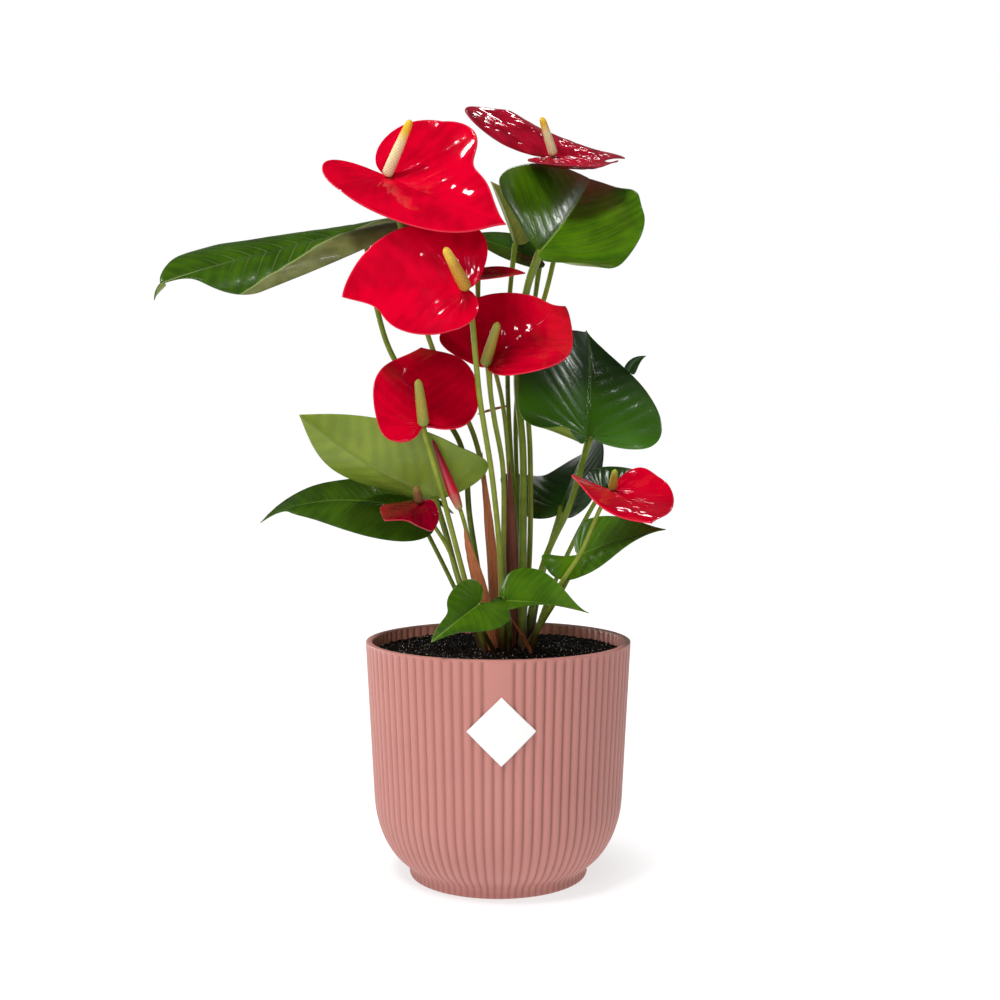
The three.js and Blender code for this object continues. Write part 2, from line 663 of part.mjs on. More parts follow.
addLeaf(
  'leaf_low_right',
  {
    joint: [42, -24, 171], azimuth: -48, rise: 20, roll: 45, length: 55, width: 31, lobe: 12, gap: 0.1,
    belly: 0.1, taper: 0.23, droop: 16, sway: -3, curlLeft: 6, curlRight: -53, fold: 14, lobeCurl: 45,
    wave: 1.3, skew: -0.1, lobeSkew: 0.47,
    swells: [[0.04, 0.26, 0.06], [0.19, 0.14, 0.03], [0.81, 0.12, 0.08]],
    steps: smallOutlineSteps,
  },
  { through: [[14, -6, 118], [20, -8, 129], [32, -15, 150]], radius: 1.5, steps: shortStalkSteps },
  finishes.leaf,
);
addLeaf(
  'leaf_behind_flower',
  {
    joint: [54, -8, 203], azimuth: 43, rise: 12, roll: 38, length: 42, width: 28, lobe: 8, gap: 0.26,
    belly: 0.13, taper: 0.3, droop: 15, fold: 19, wave: 0.9, wavePhase: 3.5, skew: 0.07,
    steps: smallOutlineSteps,
  },
  { through: [[18, -1, 118], [26, -4, 145], [40, -6, 177]], radius: 1.3, steps: shortStalkSteps },
  finishes.darkLeaf,
);
addLeaf(
  'leaf_rim_left',
  {
    joint: [-10, -50, 148], azimuth: 230, rise: -21, roll: -46, length: 31, width: 32, lobe: 9, gap: 0.18,
    belly: 0.08, taper: 0.1, droop: 18, curlLeft: -7, fold: 24, wave: 0.9, wavePhase: 1.5, skew: -0.11,
    swells: [[0.39, -0.23, 0.04], [0.43, 0.14, 0.1], [0.6, -0.08, 0.05], [0.78, 0.04, 0.1]],
    steps: smallOutlineSteps,
  },
  { through: [[-2, -15, 118], [-7, -28, 131]], radius: 1.3, steps: shortStalkSteps },
  finishes.leaf,
);
addLeaf(
  'leaf_rim_right',
  {
    joint: [4, -30, 148], azimuth: -31, rise: 2, roll: 42, length: 43, width: 29, lobe: 7, gap: 0.15,
    belly: 0.19, taper: 0.13, droop: 12, twist: -10, fold: 24, lobeCurl: -15, wave: 2.7, wavePhase: 1.1,
    skew: -0.11, lobeSkew: 0.16,
    swells: [[0.22, -0.28, 0.1], [0.46, 0.08, 0.1], [0.82, 0.11, 0.05], [0.97, 0.14, 0.18]],
    steps: smallOutlineSteps,
  },
  { through: [[6, -14, 118], [6, -23, 132]], radius: 1.3, steps: shortStalkSteps },
  finishes.leaf,
);

// The cataphylls are narrow dry sheaths that stand just off the stalks, and one bract hangs behind.
function addSheath(name, joint, tip, width, curl, finish) {
  const way = new THREE.Vector3(...tip).sub(new THREE.Vector3(...joint));
  const azimuth = THREE.MathUtils.radToDeg(Math.atan2(way.y, way.x));
  const rise = THREE.MathUtils.radToDeg(Math.atan2(way.z, Math.hypot(way.x, way.y)));
  const sheath = {
    joint, azimuth, rise, roll: 0, length: way.length(), width, lobe: 1, gap: 0.6, belly: 0.35, taper: 0.3,
    curlLeft: curl, curlRight: curl, steps: sheathOutlineSteps,
  };
  add(name, bladeGeometry(sheath, bractThickness), finish);
}

const sheathFoot = soilLevel + soilMound + clearance;
addSheath('sheath_left', [-4, -12.5, sheathFoot], [-17.5, -30, 186], 11, 70, finishes.bract);
addSheath('sheath_middle', [-1.6, -2, sheathFoot], [-8.4, -9, 223], 9, 70, finishes.bract);
addSheath('sheath_right', [6.5, 0, sheathFoot], [6, -2, 218], 9, 70, finishes.darkBract);
addSheath('sheath_low', [16.5, -19.5, sheathFoot], [6.5, -20, 138], 6, 70, finishes.bract);
addSheath('bract_dry', [4, 5.2, 247], [-11, 8, 243], 9, 20, finishes.bract);

// What holds the plant.
add('pot', potGeometry(), finishes.pot);
add('label', labelGeometry(), finishes.label);
add('soil', geometryOf(holes.reduce((soil, hole) => soil.subtract(hole), soilBody())), finishes.soil);

export default part;
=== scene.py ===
import math
from random import Random

import bmesh
import bpy
from mathutils import Euler, Matrix, Vector, noise


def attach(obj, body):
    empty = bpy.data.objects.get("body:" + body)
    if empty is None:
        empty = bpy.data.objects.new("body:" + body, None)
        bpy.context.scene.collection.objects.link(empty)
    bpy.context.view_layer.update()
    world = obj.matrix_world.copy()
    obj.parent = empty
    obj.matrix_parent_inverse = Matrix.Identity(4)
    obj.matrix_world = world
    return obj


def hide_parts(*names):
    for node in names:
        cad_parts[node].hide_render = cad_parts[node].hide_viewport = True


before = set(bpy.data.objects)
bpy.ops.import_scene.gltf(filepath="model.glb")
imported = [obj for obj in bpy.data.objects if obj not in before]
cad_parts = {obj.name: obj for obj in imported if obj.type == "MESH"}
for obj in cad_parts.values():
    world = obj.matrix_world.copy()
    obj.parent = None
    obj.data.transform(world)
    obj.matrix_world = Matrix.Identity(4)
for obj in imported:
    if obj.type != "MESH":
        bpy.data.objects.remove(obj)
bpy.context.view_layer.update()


# ---- The pot ----
# A cover pot moulded in one piece of matt dusty pink plastic. Its wall is ribbed inside and out, but for
# a smooth panel at the front, and it stands on a short foot.

MM = 0.001
POT_HEIGHT = 124
RIM_RADIUS = 70
WALL = 3.7
FOOT_RADIUS = 47.2
FOOT_HEIGHT = 5.75
BELLY_RADIUS = 65.7
BELLY_HEIGHT = 41.7
RIBS = 84
RIB_DEPTH = 1.3
INNER_RIB_DEPTH = 0.8
RIB_TURN = 0.26
PANEL_HALF = 6.43
PANEL_FOOT = 77
COLUMNS_PER_RIB = 8


def linear(code):
    """The linear colour of a code such as 0xC8857A."""
    parts = [(code >> shift & 255) / 255 for shift in (16, 8, 0)]
    return [p / 12.92 if p < 0.04045 else ((p + 0.055) / 1.055) ** 2.4 for p in parts] + [1]


class Number:
    """A shader socket in a sum: each operator adds the Math node that works it out."""

    def __init__(self, tree, socket):
        self.tree = tree
        self.socket = socket

    def sum(self, operation, first, second):
        node = self.tree.nodes.new("ShaderNodeMath")
        node.operation = operation
        for socket, value in zip(node.inputs, (first, second)):
            if isinstance(value, Number):
                self.tree.links.new(value.socket, socket)
            else:
                socket.default_value = value
        return Number(self.tree, node.outputs[0])

    def __add__(self, other):
        return self.sum("ADD", self, other)

    def __sub__(self, other):
        return self.sum("SUBTRACT", self, other)

    def __rsub__(self, other):
        return self.sum("SUBTRACT", other, self)

    def __mul__(self, other):
        return self.sum("MULTIPLY", self, other)

    __radd__ = __add__
    __rmul__ = __mul__


class Finish:
    """A material, or the sky, made of one shader and the nodes that feed it."""

    def __init__(self, name, sockets, made_in=bpy.data.materials, shader="Principled BSDF"):
        self.material = made_in.new(name)
        self.material.use_nodes = True
        self.tree = self.material.node_tree
        self.shader = self.tree.nodes[shader]
        self.feed(self.shader, sockets)

    def feed(self, node, sockets):
        for key, value in sockets.items():
            if isinstance(value, Number):
                self.tree.links.new(value.socket, node.inputs[key])
            else:
                node.inputs[key].default_value = value

    def node(self, kind, settings, sockets, output=0):
        """A node with its settings made first, then its sockets fed; gives one of its outputs."""
        node = self.tree.nodes.new("ShaderNode" + kind)
        for key, value in settings.items():
            if key == "stops":
                ramp = node.color_ramp.elements
                while len(ramp) < len(value):
                    ramp.new(0.5)
                for stop, (place, colour) in zip(ramp, value):
                    stop.position = place
                    stop.color = colour
            else:
                setattr(node, key, value)
        self.feed(node, sockets)
        return Number(self.tree, node.outputs[output])

    def mix(self, first, second, share):
        return self.node("Mix", {"data_type": "RGBA"}, {0: share, 6: first, 7: second}, 2)

    def band(self, value, low, high):
        """0 under low, 1 over high, and smooth between."""
        return self.node("MapRange", {"interpolation_type": "SMOOTHSTEP"}, {0: value, 1: low, 2: high})

    def bump(self, height, depth):
        return self.node("Bump", {}, {"Height": height, "Distance": depth, "Strength": 1})


def finished(name, bm, finishes, nodes, smooth=True):
    """Puts a bmesh into the scene as a piece that rides on the root and stands for its CAD nodes."""
    mesh = bpy.data.meshes.new(name)
    for face in bm.faces:
        face.smooth = smooth
    bm.to_mesh(mesh)
    bm.free()
    for finish in finishes:
        mesh.materials.append(finish.material)
    piece = bpy.data.objects.new(name, mesh)
    bpy.context.scene.collection.objects.link(piece)
    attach(piece, "root")
    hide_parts(*nodes)
    return piece


def bezier(knots, way):
    """A point of the cubic curve with these four knots."""
    back = 1 - way
    weights = back**3, 3 * back**2 * way, 3 * back * way**2, way**3
    return [sum(w * knot[i] for w, knot in zip(weights, knots)) for i in (0, 1)]


def side_radius(height):
    """The radius of the crests on the straight side."""
    share = (height - BELLY_HEIGHT) / (POT_HEIGHT - BELLY_HEIGHT)
    return BELLY_RADIUS + (RIM_RADIUS - BELLY_RADIUS) * share


def turn_body(bm, rows, steps):
    """Turns a section's row of vertices once round the axis and joins it to its start."""
    edges = [bm.edges.new(pair) for pair in zip(rows, rows[1:])]
    bmesh.ops.spin(
        bm, geom=rows + edges, cent=(0, 0, 0), axis=(0, 0, 1), dvec=(0, 0, 0),
        angle=2 * math.pi, steps=steps, use_merge=True,
    )
    bmesh.ops.remove_doubles(bm, verts=bm.verts, dist=1e-6)


# The section runs from the middle of the underside up the foot, out through a small hollow and the
# belly's knee, up the side, over the rim and down to the floor. Each of its rows is a radius, a height
# and how deep the grooves are pressed there.
hollow = (FOOT_RADIUS, 2.9), (FOOT_RADIUS, 4.8), (48.7, 6.5), (50, 7.44)
knee = (FOOT_RADIUS, FOOT_HEIGHT), (57.8, 11.15), (64.87, 25.8), (BELLY_RADIUS, BELLY_HEIGHT)
outer_heights = 49, 57, 65, 73, 76, 78, 80, 88, 96, 104, 112, 117, 120.5
inner_heights = 122.4, 118, 112, 100, 80, 60, BELLY_HEIGHT
section = [(0, 0, 0), (30, 0, 0), (46.2, 0, 0), (46.9, 0.25, 0)]
section += [(FOOT_RADIUS, z, RIB_DEPTH * (0.4 + z * 0.05)) for z in (0.9, 2)]
section += [(*bezier(hollow, i / 6), RIB_DEPTH * (0.55 + i * 0.05)) for i in range(6)]
section += [(*bezier(knee, i / 22), RIB_DEPTH * min(1, 0.75 + i / 20)) for i in range(2, 23)]
section += [(side_radius(z), z, RIB_DEPTH) for z in outer_heights]
section += [(side_radius(122.2), 122.2, RIB_DEPTH * 0.8), (69.9, 123.1, RIB_DEPTH * 0.35), (69.8, 123.6, 0)]
section += [(69.3, 123.9, 0), (68.6, 124, 0), (67.6, 124, 0), (66.9, 123.8, 0), (66.5, 123.4, 0)]
section += [(side_radius(z) - WALL, z, -INNER_RIB_DEPTH) for z in inner_heights]
section += [(54.6, 20.8, 0), (43.5, 4, 0), (0, 4, 0)]

pot_bm = bmesh.new()
press = pot_bm.verts.layers.float.new("press")
groove = pot_bm.verts.layers.float.new("groove")
inside = pot_bm.verts.layers.float.new("inside")
start = Matrix.Rotation(math.radians(RIB_TURN), 3, "Z")
rows = []
for radius, height, depth in section:
    vert = pot_bm.verts.new(start @ Vector((0, -radius * MM, height * MM)))
    vert[press] = depth * MM
    rows.append(vert)
turn_body(pot_bm, rows, RIBS * COLUMNS_PER_RIB)

# A groove is pressed between each two crests, but on the panel only along its sides.
for vert in pot_bm.verts:
    degrees = math.degrees(math.atan2(vert.co.x, -vert.co.y)) - RIB_TURN
    rib = degrees * RIBS / 360
    edge = 2 * abs(rib - round(rib))
    if abs(degrees) < PANEL_HALF and vert[press] > 0 and vert.co.z > (PANEL_FOOT - 1) * MM:
        panel_edge = max(0, 1 - (PANEL_HALF - abs(degrees)) * RIBS / 180)
        fade = min(1, (vert.co.z / MM - PANEL_FOOT + 1) / 2)
        edge = panel_edge * fade + edge * (1 - fade)
    radius = math.hypot(vert.co.x, vert.co.y)
    if radius > 0:
        vert[groove] = abs(vert[press]) / RIB_DEPTH / MM * edge**4
        vert[inside] = vert[press] < 0
        scale = 1 - vert[press] * edge**2.6 / radius
        vert.co.x *= scale
        vert.co.y *= scale
bmesh.ops.recalc_face_normals(pot_bm, faces=pot_bm.faces)

pot_plastic = Finish("pot_plastic", {"Roughness": 0.45, "Specular IOR Level": 0.5})
place = pot_plastic.node("TexCoord", {}, {}, "Object")
cloud = pot_plastic.node("TexNoise", {}, {"Vector": place, "Scale": 28, "Detail": 3})
grain = pot_plastic.node("TexNoise", {}, {"Vector": place, "Scale": 2600, "Detail": 2})
# Painted shade: in the grooves the pink is darkened towards a deep brown pink, darkest at their bottoms.
groove_shade = pot_plastic.node("Attribute", {"attribute_name": "groove"}, {}, "Fac")
# Painted light: on the inner wall, which the leaves shade, the pink is made lighter.
inner_painted_light = pot_plastic.node("Attribute", {"attribute_name": "inside"}, {}, "Fac")
pink = pot_plastic.mix(linear(0xBC7A71), linear(0xC6857B), cloud)
pink = pot_plastic.mix(pink, linear(0xF2A294), inner_painted_light)
pot_plastic.feed(pot_plastic.shader, {
    "Base Color": pot_plastic.mix(pink, linear(0x7E4440), groove_shade * 0.5),
    "Normal": pot_plastic.bump(grain, 0.00004),
})
finished("cover_pot", pot_bm, [pot_plastic], ["pot"])


# ---- The label ----
# A square sticker of white coated paper set on its corner and pressed on the panel and ribs below it.
# It is left blank.

LABEL_SIDE = 24
LABEL_THICKNESS = 0.25
LABEL_LIFT = 0.45
LABEL_HEIGHT = 89
LABEL_TURN = 1.4

label_bm = bmesh.new()
bmesh.ops.create_grid(label_bm, x_segments=40, y_segments=40, size=LABEL_SIDE / 2 * MM)
bmesh.ops.solidify(label_bm, geom=label_bm.faces[:], thickness=LABEL_THICKNESS * MM)
bmesh.ops.rotate(label_bm, verts=label_bm.verts, matrix=Matrix.Rotation(math.radians(45), 3, "Z"))
for vert in label_bm.verts:
    height = LABEL_HEIGHT + vert.co.y / MM
    angle = math.radians(LABEL_TURN) + vert.co.x / MM / side_radius(height)
    radius = side_radius(height) + LABEL_LIFT + vert.co.z / MM
    vert.co = Vector((radius * math.sin(angle), -radius * math.cos(angle), height)) * MM
bmesh.ops.recalc_face_normals(label_bm, faces=label_bm.faces)

label_paper = Finish("label_paper", {"Roughness": 0.42})
place = label_paper.node("TexCoord", {}, {}, "Object")
fibre = label_paper.node("TexNoise", {}, {"Vector": place, "Scale": 1500, "Detail": 4})
label_paper.feed(label_paper.shader, {
    "Base Color": label_paper.mix(linear(0xF4F4F2), linear(0xFFFFFF), fibre),
    "Normal": label_paper.bump(fibre, 0.00002),
})
finished("blank_label", label_bm, [label_paper], ["label"])


# ---- The soil ----
# Dark damp potting soil, filled to just under the rim. It is crumbly peat with bits of bark, and pale
# grains of sand and perlite lie all through it.

SOIL_LEVEL = 118
SOIL_MOUND = 1.5
SOIL_GAP = 0.5
SOIL_RINGS = 70
CLOD_HEIGHT = 1.1
CRUMBS = 3000
PALE_CRUMBS = 0.3

soil_edge = side_radius(SOIL_LEVEL) - WALL - SOIL_GAP
soil_bm = bmesh.new()
outward = [i / SOIL_RINGS for i in range(SOIL_RINGS + 1)]
section = [(soil_edge * share, SOIL_LEVEL + SOIL_MOUND * (1 - share)) for share in outward]
section += [(61.7, 41.7), (53.6, 20.8), (42.5, 4.3), (0, 4.3)]
rows = [soil_bm.verts.new(Vector((radius, 0, height)) * MM) for radius, height in section]
turn_body(soil_bm, rows, 320)
for vert in soil_bm.verts:
    if vert.co.z > 0.1:
        clod = noise.fractal(vert.co * 260, 0.8, 2.1, 4) - 0.3
        vert.co.z += CLOD_HEIGHT * MM * clod
bmesh.ops.recalc_face_normals(soil_bm, faces=soil_bm.faces)

soil_peat = Finish("soil_peat", {"Roughness": 0.95, "Specular IOR Level": 0.25})
place = soil_peat.node("TexCoord", {}, {}, "Object")
clods = soil_peat.node("TexNoise", {}, {"Vector": place, "Scale": 700, "Detail": 5, "Roughness": 0.65})
sand = soil_peat.node("TexVoronoi", {}, {"Vector": place, "Scale": 1150}, 0)
sand_here = soil_peat.node("TexNoise", {}, {"Vector": place, "Scale": 900, "Detail": 0})
peat = soil_peat.mix(linear(0x090605), linear(0x261B16), soil_peat.band(clods, 0.45, 0.75))
specks = (1 - soil_peat.band(sand, 0.1, 0.22)) * soil_peat.band(sand_here, 0.55, 0.62)
soil_peat.feed(soil_peat.shader, {
    "Base Color": soil_peat.mix(peat, linear(0xB9ABA0), specks),
    "Normal": soil_peat.bump(clods, 0.0008),
})
finished("potting_soil", soil_bm, [soil_peat], ["soil"])

crumbs = Random(7)
crumb_bm = bmesh.new()
seed_bm = bmesh.new()
bmesh.ops.create_icosphere(seed_bm, subdivisions=1, radius=1)
seed_mesh = bpy.data.meshes.new("crumb_seed")
seed_bm.to_mesh(seed_mesh)
seed_bm.free()
crumb_bm.verts.layers.float.new("shade")
for _ in range(CRUMBS):
    spot = soil_edge * math.sqrt(crumbs.random()) * 0.985
    angle = crumbs.uniform(0, 2 * math.pi)
    pale = crumbs.random() < PALE_CRUMBS
    size = crumbs.uniform(0.14, 0.3) if pale else crumbs.uniform(0.25, 0.8)
    lie = Euler([crumbs.uniform(0, 6.28) for _ in range(3)]).to_matrix().to_4x4()
    stretch = Matrix.Diagonal([size * MM * crumbs.uniform(0.6, 1.3) for _ in range(3)] + [1])
    height = SOIL_LEVEL + SOIL_MOUND * (1 - spot / soil_edge) + crumbs.uniform(-0.1, 0.5)
    put = Matrix.Translation(Vector((spot * math.cos(angle), spot * math.sin(angle), height)) * MM)
    crumb = seed_mesh.copy()
    crumb.transform(put @ lie @ stretch)
    tone = crumb.attributes.new("shade", "FLOAT", "POINT")
    lightness = crumbs.uniform(0.75, 1) if pale else crumbs.uniform(0, 0.45)
    tone.data.foreach_set("value", [lightness] * len(crumb.vertices))
    crumb_bm.from_mesh(crumb)
    bpy.data.meshes.remove(crumb)
bpy.data.meshes.remove(seed_mesh)

crumb_peat = Finish("crumb_peat", {"Roughness": 0.85, "Specular IOR Level": 0.3})
tone = crumb_peat.node("Attribute", {"attribute_name": "shade"}, {}, "Fac")
crumb_peat.feed(crumb_peat.shader, {
    "Base Color": crumb_peat.node("ValToRGB", {"stops": [
        (0, linear(0x080504)), (0.4, linear(0x201611)), (0.7, linear(0x5C4C40)), (1, linear(0xE3DACE)),
    ]}, {0: tone}),
})
finished("soil_crumbs", crumb_bm, [crumb_peat], ["soil"], smooth=False)


# ---- The leaves ----
# Each leaf is a waxy heart-shaped blade on a round petiole that stands in the soil. Its midrib and side
# veins are pressed in above and stand out below, and the underside is duller and paler.

LEAF_THICKNESS = 0.45
WAVES = 3
MIDRIB_STEPS = 16
VEIN_FAN = 21
ROOT_DEPTH = 12
TURNED_ACROSS = (0.61, 0, -0.792)
TURNED_FROM = 0.3141


def heart(blade, turn):
    """A point of the outline in the flat, to the right of the joint and ahead of it."""
    side = 1 if turn < 0.5 else -1
    way = 4 * min(turn, 1 - turn)
    half = blade["width"] / 2
    lobe = 1.33 * blade["lobe"] * (1 + side * blade.get("lobe_skew", 0))
    belly = blade["belly"] * blade["length"]
    ahead = blade["length"] - belly
    if way < 1:
        knots = (0, 0), (blade["gap"] * half, -lobe), (half, -lobe), (half, belly)
        x, y = bezier(knots, way)
    else:
        knots = (half, belly), (half, belly + 0.45 * ahead), (blade["taper"] * half, belly + 0.8 * ahead)
        x, y = bezier((*knots, (0, blade["length"])), way - 1)
    swell = 1
    for middle, reach, spread in blade.get("swells", ()):
        swell += reach * math.exp(-(((turn - middle) / spread) ** 2))
    return x * side * (1 + side * blade.get("skew", 0)) * swell, y * swell


def midrib(blade):
    """The places and turns of the midrib at equal steps from the joint to the tip."""
    start = [math.radians(d) for d in (blade["roll"], -blade["rise"], blade["azimuth"])]
    turn = Euler(start, "XYZ").to_quaternion()
    place = Vector(blade["joint"])
    frames = [(place.copy(), turn.copy())]
    for i in range(MIDRIB_STEPS):
        bend = (0.5 + (i + 0.5) / MIDRIB_STEPS) * blade.get("droop", 0)
        step = blade.get("twist", 0), bend, -blade.get("sway", 0)
        half_turn = Euler([math.radians(d / MIDRIB_STEPS / 2) for d in step], "XYZ").to_quaternion()
        turn = turn @ half_turn
        place = place + turn @ Vector((blade["length"] / MIDRIB_STEPS, 0, 0))
        turn = turn @ half_turn
        frames.append((place.copy(), turn.copy()))
    return frames


def on_blade(blade, frames, share, turn, edge):
    """Where a point of the flat heart lies once the blade is folded, curled and waved on its midrib."""
    x, y = edge[0] * share, edge[1] * share
    step = min(max(y / blade["length"] * MIDRIB_STEPS, 0), MIDRIB_STEPS - 1e-6)
    (from_place, from_turn), (to_place, to_turn) = frames[int(step)], frames[int(step) + 1]
    place = from_place.lerp(to_place, step % 1)
    direction = from_turn.slerp(to_turn, step % 1)
    back = max(-y, 0)
    lobe_angle = math.radians(blade.get("lobe_curl", 0)) * back / blade["lobe"] / 2
    curl = blade.get("curl_right" if x > 0 else "curl_left", 0)
    across = abs(x)
    lift = math.radians(blade.get("fold", 0) + curl * across / blade["width"])
    wave_place = 2 * math.pi * WAVES * turn + blade.get("wave_phase", 0)
    wave = blade.get("wave", 0) * share**2 * math.sin(wave_place)
    offset = Vector((
        max(y - blade["length"], 0) - back * math.cos(lobe_angle),
        -math.copysign(across * math.cos(lift), x),
        back * math.sin(lobe_angle) + across * math.sin(lift) + wave,
    ))
    return place + direction @ offset


def vein_rank(x, y, half, spacing):
    """Which side vein a point is on: whole numbers lie on a vein, counted from the joint."""
    across = abs(x)
    ahead = y - 0.35 * across**2 / half
    rank = (ahead - 0.5 * across) / spacing
    if rank < 0:
        rank = (math.atan2(2, 1) - math.atan2(across, ahead)) / math.radians(VEIN_FAN)
    return rank


def grow_blade(name, blade, relief, thickness, finishes, nodes, fine=1.0):
    """A blade as one sheet, given its relief and its thickness. Its attribute 'flat' holds the vein
    rank, how far across it is and how near the edge."""
    frames = midrib(blade)
    rings, spokes = int(44 * fine), 2 * int(92 * fine)
    outline = [heart(blade, i / spokes) for i in range(spokes + 1)]
    half = blade["width"] / 2
    bm = bmesh.new()
    flat = bm.verts.layers.float_vector.new("flat")
    bmesh.ops.create_grid(bm, x_segments=rings, y_segments=spokes, size=0.5)
    lift = {}
    for vert in bm.verts:
        share = (vert.co.x + 0.5) ** 0.8
        spoke = round((vert.co.y + 0.5) * spokes)
        edge = outline[spoke]
        x, y = edge[0] * share, edge[1] * share
        rank = vein_rank(x, y, half, blade.get("vein_gap", 8))
        vert[flat] = (rank, abs(x) / half, share)
        vert.co = on_blade(blade, frames, share, spoke / spokes, edge) * MM
        lift[vert] = relief(x, y, share, rank, half) * MM
    up = frames[0][1] @ Vector((0, 0, 1))
    bm.normal_update()
    if sum(face.normal.dot(up) * face.calc_area() for face in bm.faces) < 0:
        bmesh.ops.reverse_faces(bm, faces=bm.faces)
        bm.normal_update()
    for vert, height in lift.items():
        vert.co += vert.normal * height
    bmesh.ops.remove_doubles(bm, verts=bm.verts, dist=2e-6)
    piece = finished(name, bm, finishes, nodes)
    shell = piece.modifiers.new("thickness", "SOLIDIFY")
    shell.thickness = thickness * MM
    shell.offset = 0
    shell.material_offset = 1 if len(finishes) > 1 else 0
    return piece


def leaf_relief(x, y, share, rank, half):
    """Low pillows between the side veins, the midrib as a furrow and a slow roll towards the edge."""
    off_vein = abs(rank - round(rank))
    puff = 0.32 * math.sin(math.pi * off_vein) ** 0.9 * (1 - share**5) * min(1, abs(x) / 7)
    rib = -0.45 * math.exp(-((x / 1.1) ** 2)) * (1 - 0.7 * share)
    roll = 0.5 * noise.noise(Vector((x / 17, y / 17, half))) * share
    return puff + rib + roll


def smooth_route(places):
    """The smooth curve through a stalk's points, as many places close together."""
    points = [Vector(place) for place in places]
    points = [2 * points[0] - points[1], *points, 2 * points[-1] - points[-2]]
    route = []
    for a, b, c, d in zip(points, points[1:], points[2:], points[3:]):
        gap_0, gap_1, gap_2 = ((q - p).length ** 0.5 for p, q in ((a, b), (b, c), (c, d)))
        out = ((b - a) / gap_0 - (c - a) / (gap_0 + gap_1) + (c - b) / gap_1) * gap_1
        into = ((c - b) / gap_1 - (d - b) / (gap_1 + gap_2) + (d - c) / gap_2) * gap_1
        bend = 3 * (c - b) - 2 * out - into
        bend_back = 2 * (b - c) + out + into
        steps = max(2, int((c - b).length / 2.5))
        for i in range(steps):
            t = i / steps
            route.append(b + out * t + bend * t**2 + bend_back * t**3)
    return [*route, points[-2]]


def grow_stalk(name, places, radius, girth, finish, nodes):
    """A round stalk whose girth along its way, from 0 to 1, is a share of its radius."""
    route = smooth_route(places)
    curve = bpy.data.curves.new(name, "CURVE")
    curve.dimensions = "3D"
    curve.bevel_depth = radius * MM
    curve.bevel_resolution = 5
    curve.use_fill_caps = True
    spline = curve.splines.new("POLY")
    spline.points.add(len(route) - 1)
    for i, (point, place) in enumerate(zip(spline.points, route)):
        point.co = (*(place * MM), 1)
        point.radius = girth(i / (len(route) - 1))
    line = bpy.data.objects.new(name + "_line", curve)
    bpy.context.scene.collection.objects.link(line)
    mesh = bpy.data.meshes.new_from_object(line)
    bpy.data.objects.remove(line)
    bpy.data.curves.remove(curve)
    bm = bmesh.new()
    bm.from_mesh(mesh)
    bpy.data.meshes.remove(mesh)
    bmesh.ops.remove_doubles(bm, verts=bm.verts, dist=1e-6)
    bmesh.ops.recalc_face_normals(bm, faces=bm.faces)
    return finished(name, bm, [finish], nodes)


def leaf_finish(name, deep, bright, vein, gloss, turned=None, painted_light_lobes=None):
    """A waxy leaf face: two greens in clouds, and its veins as fine pale lines. Where it is turned over, it
    shows two olives past a pale line painted as the highlight on the fold, and below a set height it may be
    painted a brighter green, as painted light on its low lobe."""
    finish = Finish(name, {"Roughness": gloss, "Specular IOR Level": 0.3, "Coat Roughness": 0.12})
    flat = finish.node("Attribute", {"attribute_name": "flat"}, {}, "Vector")
    rank, across, share = (finish.node("SeparateXYZ", {}, {0: flat}, i) for i in range(3))
    place = finish.node("TexCoord", {}, {}, "Object")
    cloud = finish.node("TexNoise", {}, {"Vector": place, "Scale": 55, "Detail": 3})
    fine = finish.node("TexNoise", {}, {"Vector": place, "Scale": 520, "Detail": 3})
    off_vein = finish.node("Math", {"operation": "PINGPONG"}, {0: rank, 1: 0.5})
    side_vein = (1 - finish.band(off_vein, 0.0, 0.07)) * (1 - finish.band(share, 0.6, 0.98)) * 0.4
    mid = 1 - finish.band(across, 0.008, 0.03)
    green = finish.mix(deep, bright, finish.band(cloud + off_vein * 0.35, 0.35, 0.85))
    veined = finish.mix(green, vein, finish.node("Math", {"operation": "MAXIMUM"}, {0: side_vein, 1: mid}))
    # Painted light: below about 25 cm the leaf is painted a brighter green, where its low lobe turns to the
    # light.
    if painted_light_lobes:
        height = finish.node("SeparateXYZ", {}, {0: place}, 2)
        veined = finish.mix(painted_light_lobes, veined, finish.band(height + cloud * 0.012, 0.25, 0.274))
    if turned:
        past = finish.node("VectorMath", {"operation": "DOT_PRODUCT"}, {0: place, 1: TURNED_ACROSS}, "Value")
        past = past + cloud * 0.004 + TURNED_FROM
        olive = finish.mix(*turned, finish.band(cloud, 0.35, 0.7))
        # Painted highlight: a pale line along the fold, just before the turned-over olive part.
        fold_highlight = finish.mix(veined, vein, finish.band(past, -0.0012, -0.0002))
        veined = finish.mix(fold_highlight, olive, finish.band(past, -0.0001, 0.0003))
    finish.feed(finish.shader, {
        "Base Color": veined,
        "Coat Weight": 0.2,
        "Normal": finish.bump(fine, 0.00012),
    })
    return finish


bright_leaf = leaf_finish("leaf_bright", linear(0x2F5206), linear(0x4A7208), linear(0x729030), 0.3)
deep_leaf = leaf_finish("leaf_deep", linear(0x26420A), linear(0x3A580C), linear(0x5E7C2A), 0.3)
dark_leaf = leaf_finish("leaf_dark", linear(0x1C3A0C), linear(0x2B500F), linear(0x4C7424), 0.28)
# This dark leaf is painted a brighter green low down, as painted light.
leaf_with_painted_light_lobes = leaf_finish(
    "leaf_dark_painted_light_lobes", linear(0x1A340C), linear(0x27480F), linear(0x446A24), 0.28, painted_light_lobes=linear(0x447816),
)
turned_leaf = leaf_finish(
    "leaf_turned", linear(0x2A4608), linear(0x3F620C), linear(0x869458), 0.3,
    turned=(linear(0x54572C), linear(0x7C8050)),
)
leaf_under = leaf_finish("leaf_underside", linear(0x6F8426), linear(0x84962E), linear(0x74882E), 0.55)
young_face = leaf_finish("leaf_young_face", linear(0x5C6428), linear(0x7F7C34), linear(0x989A50), 0.42)



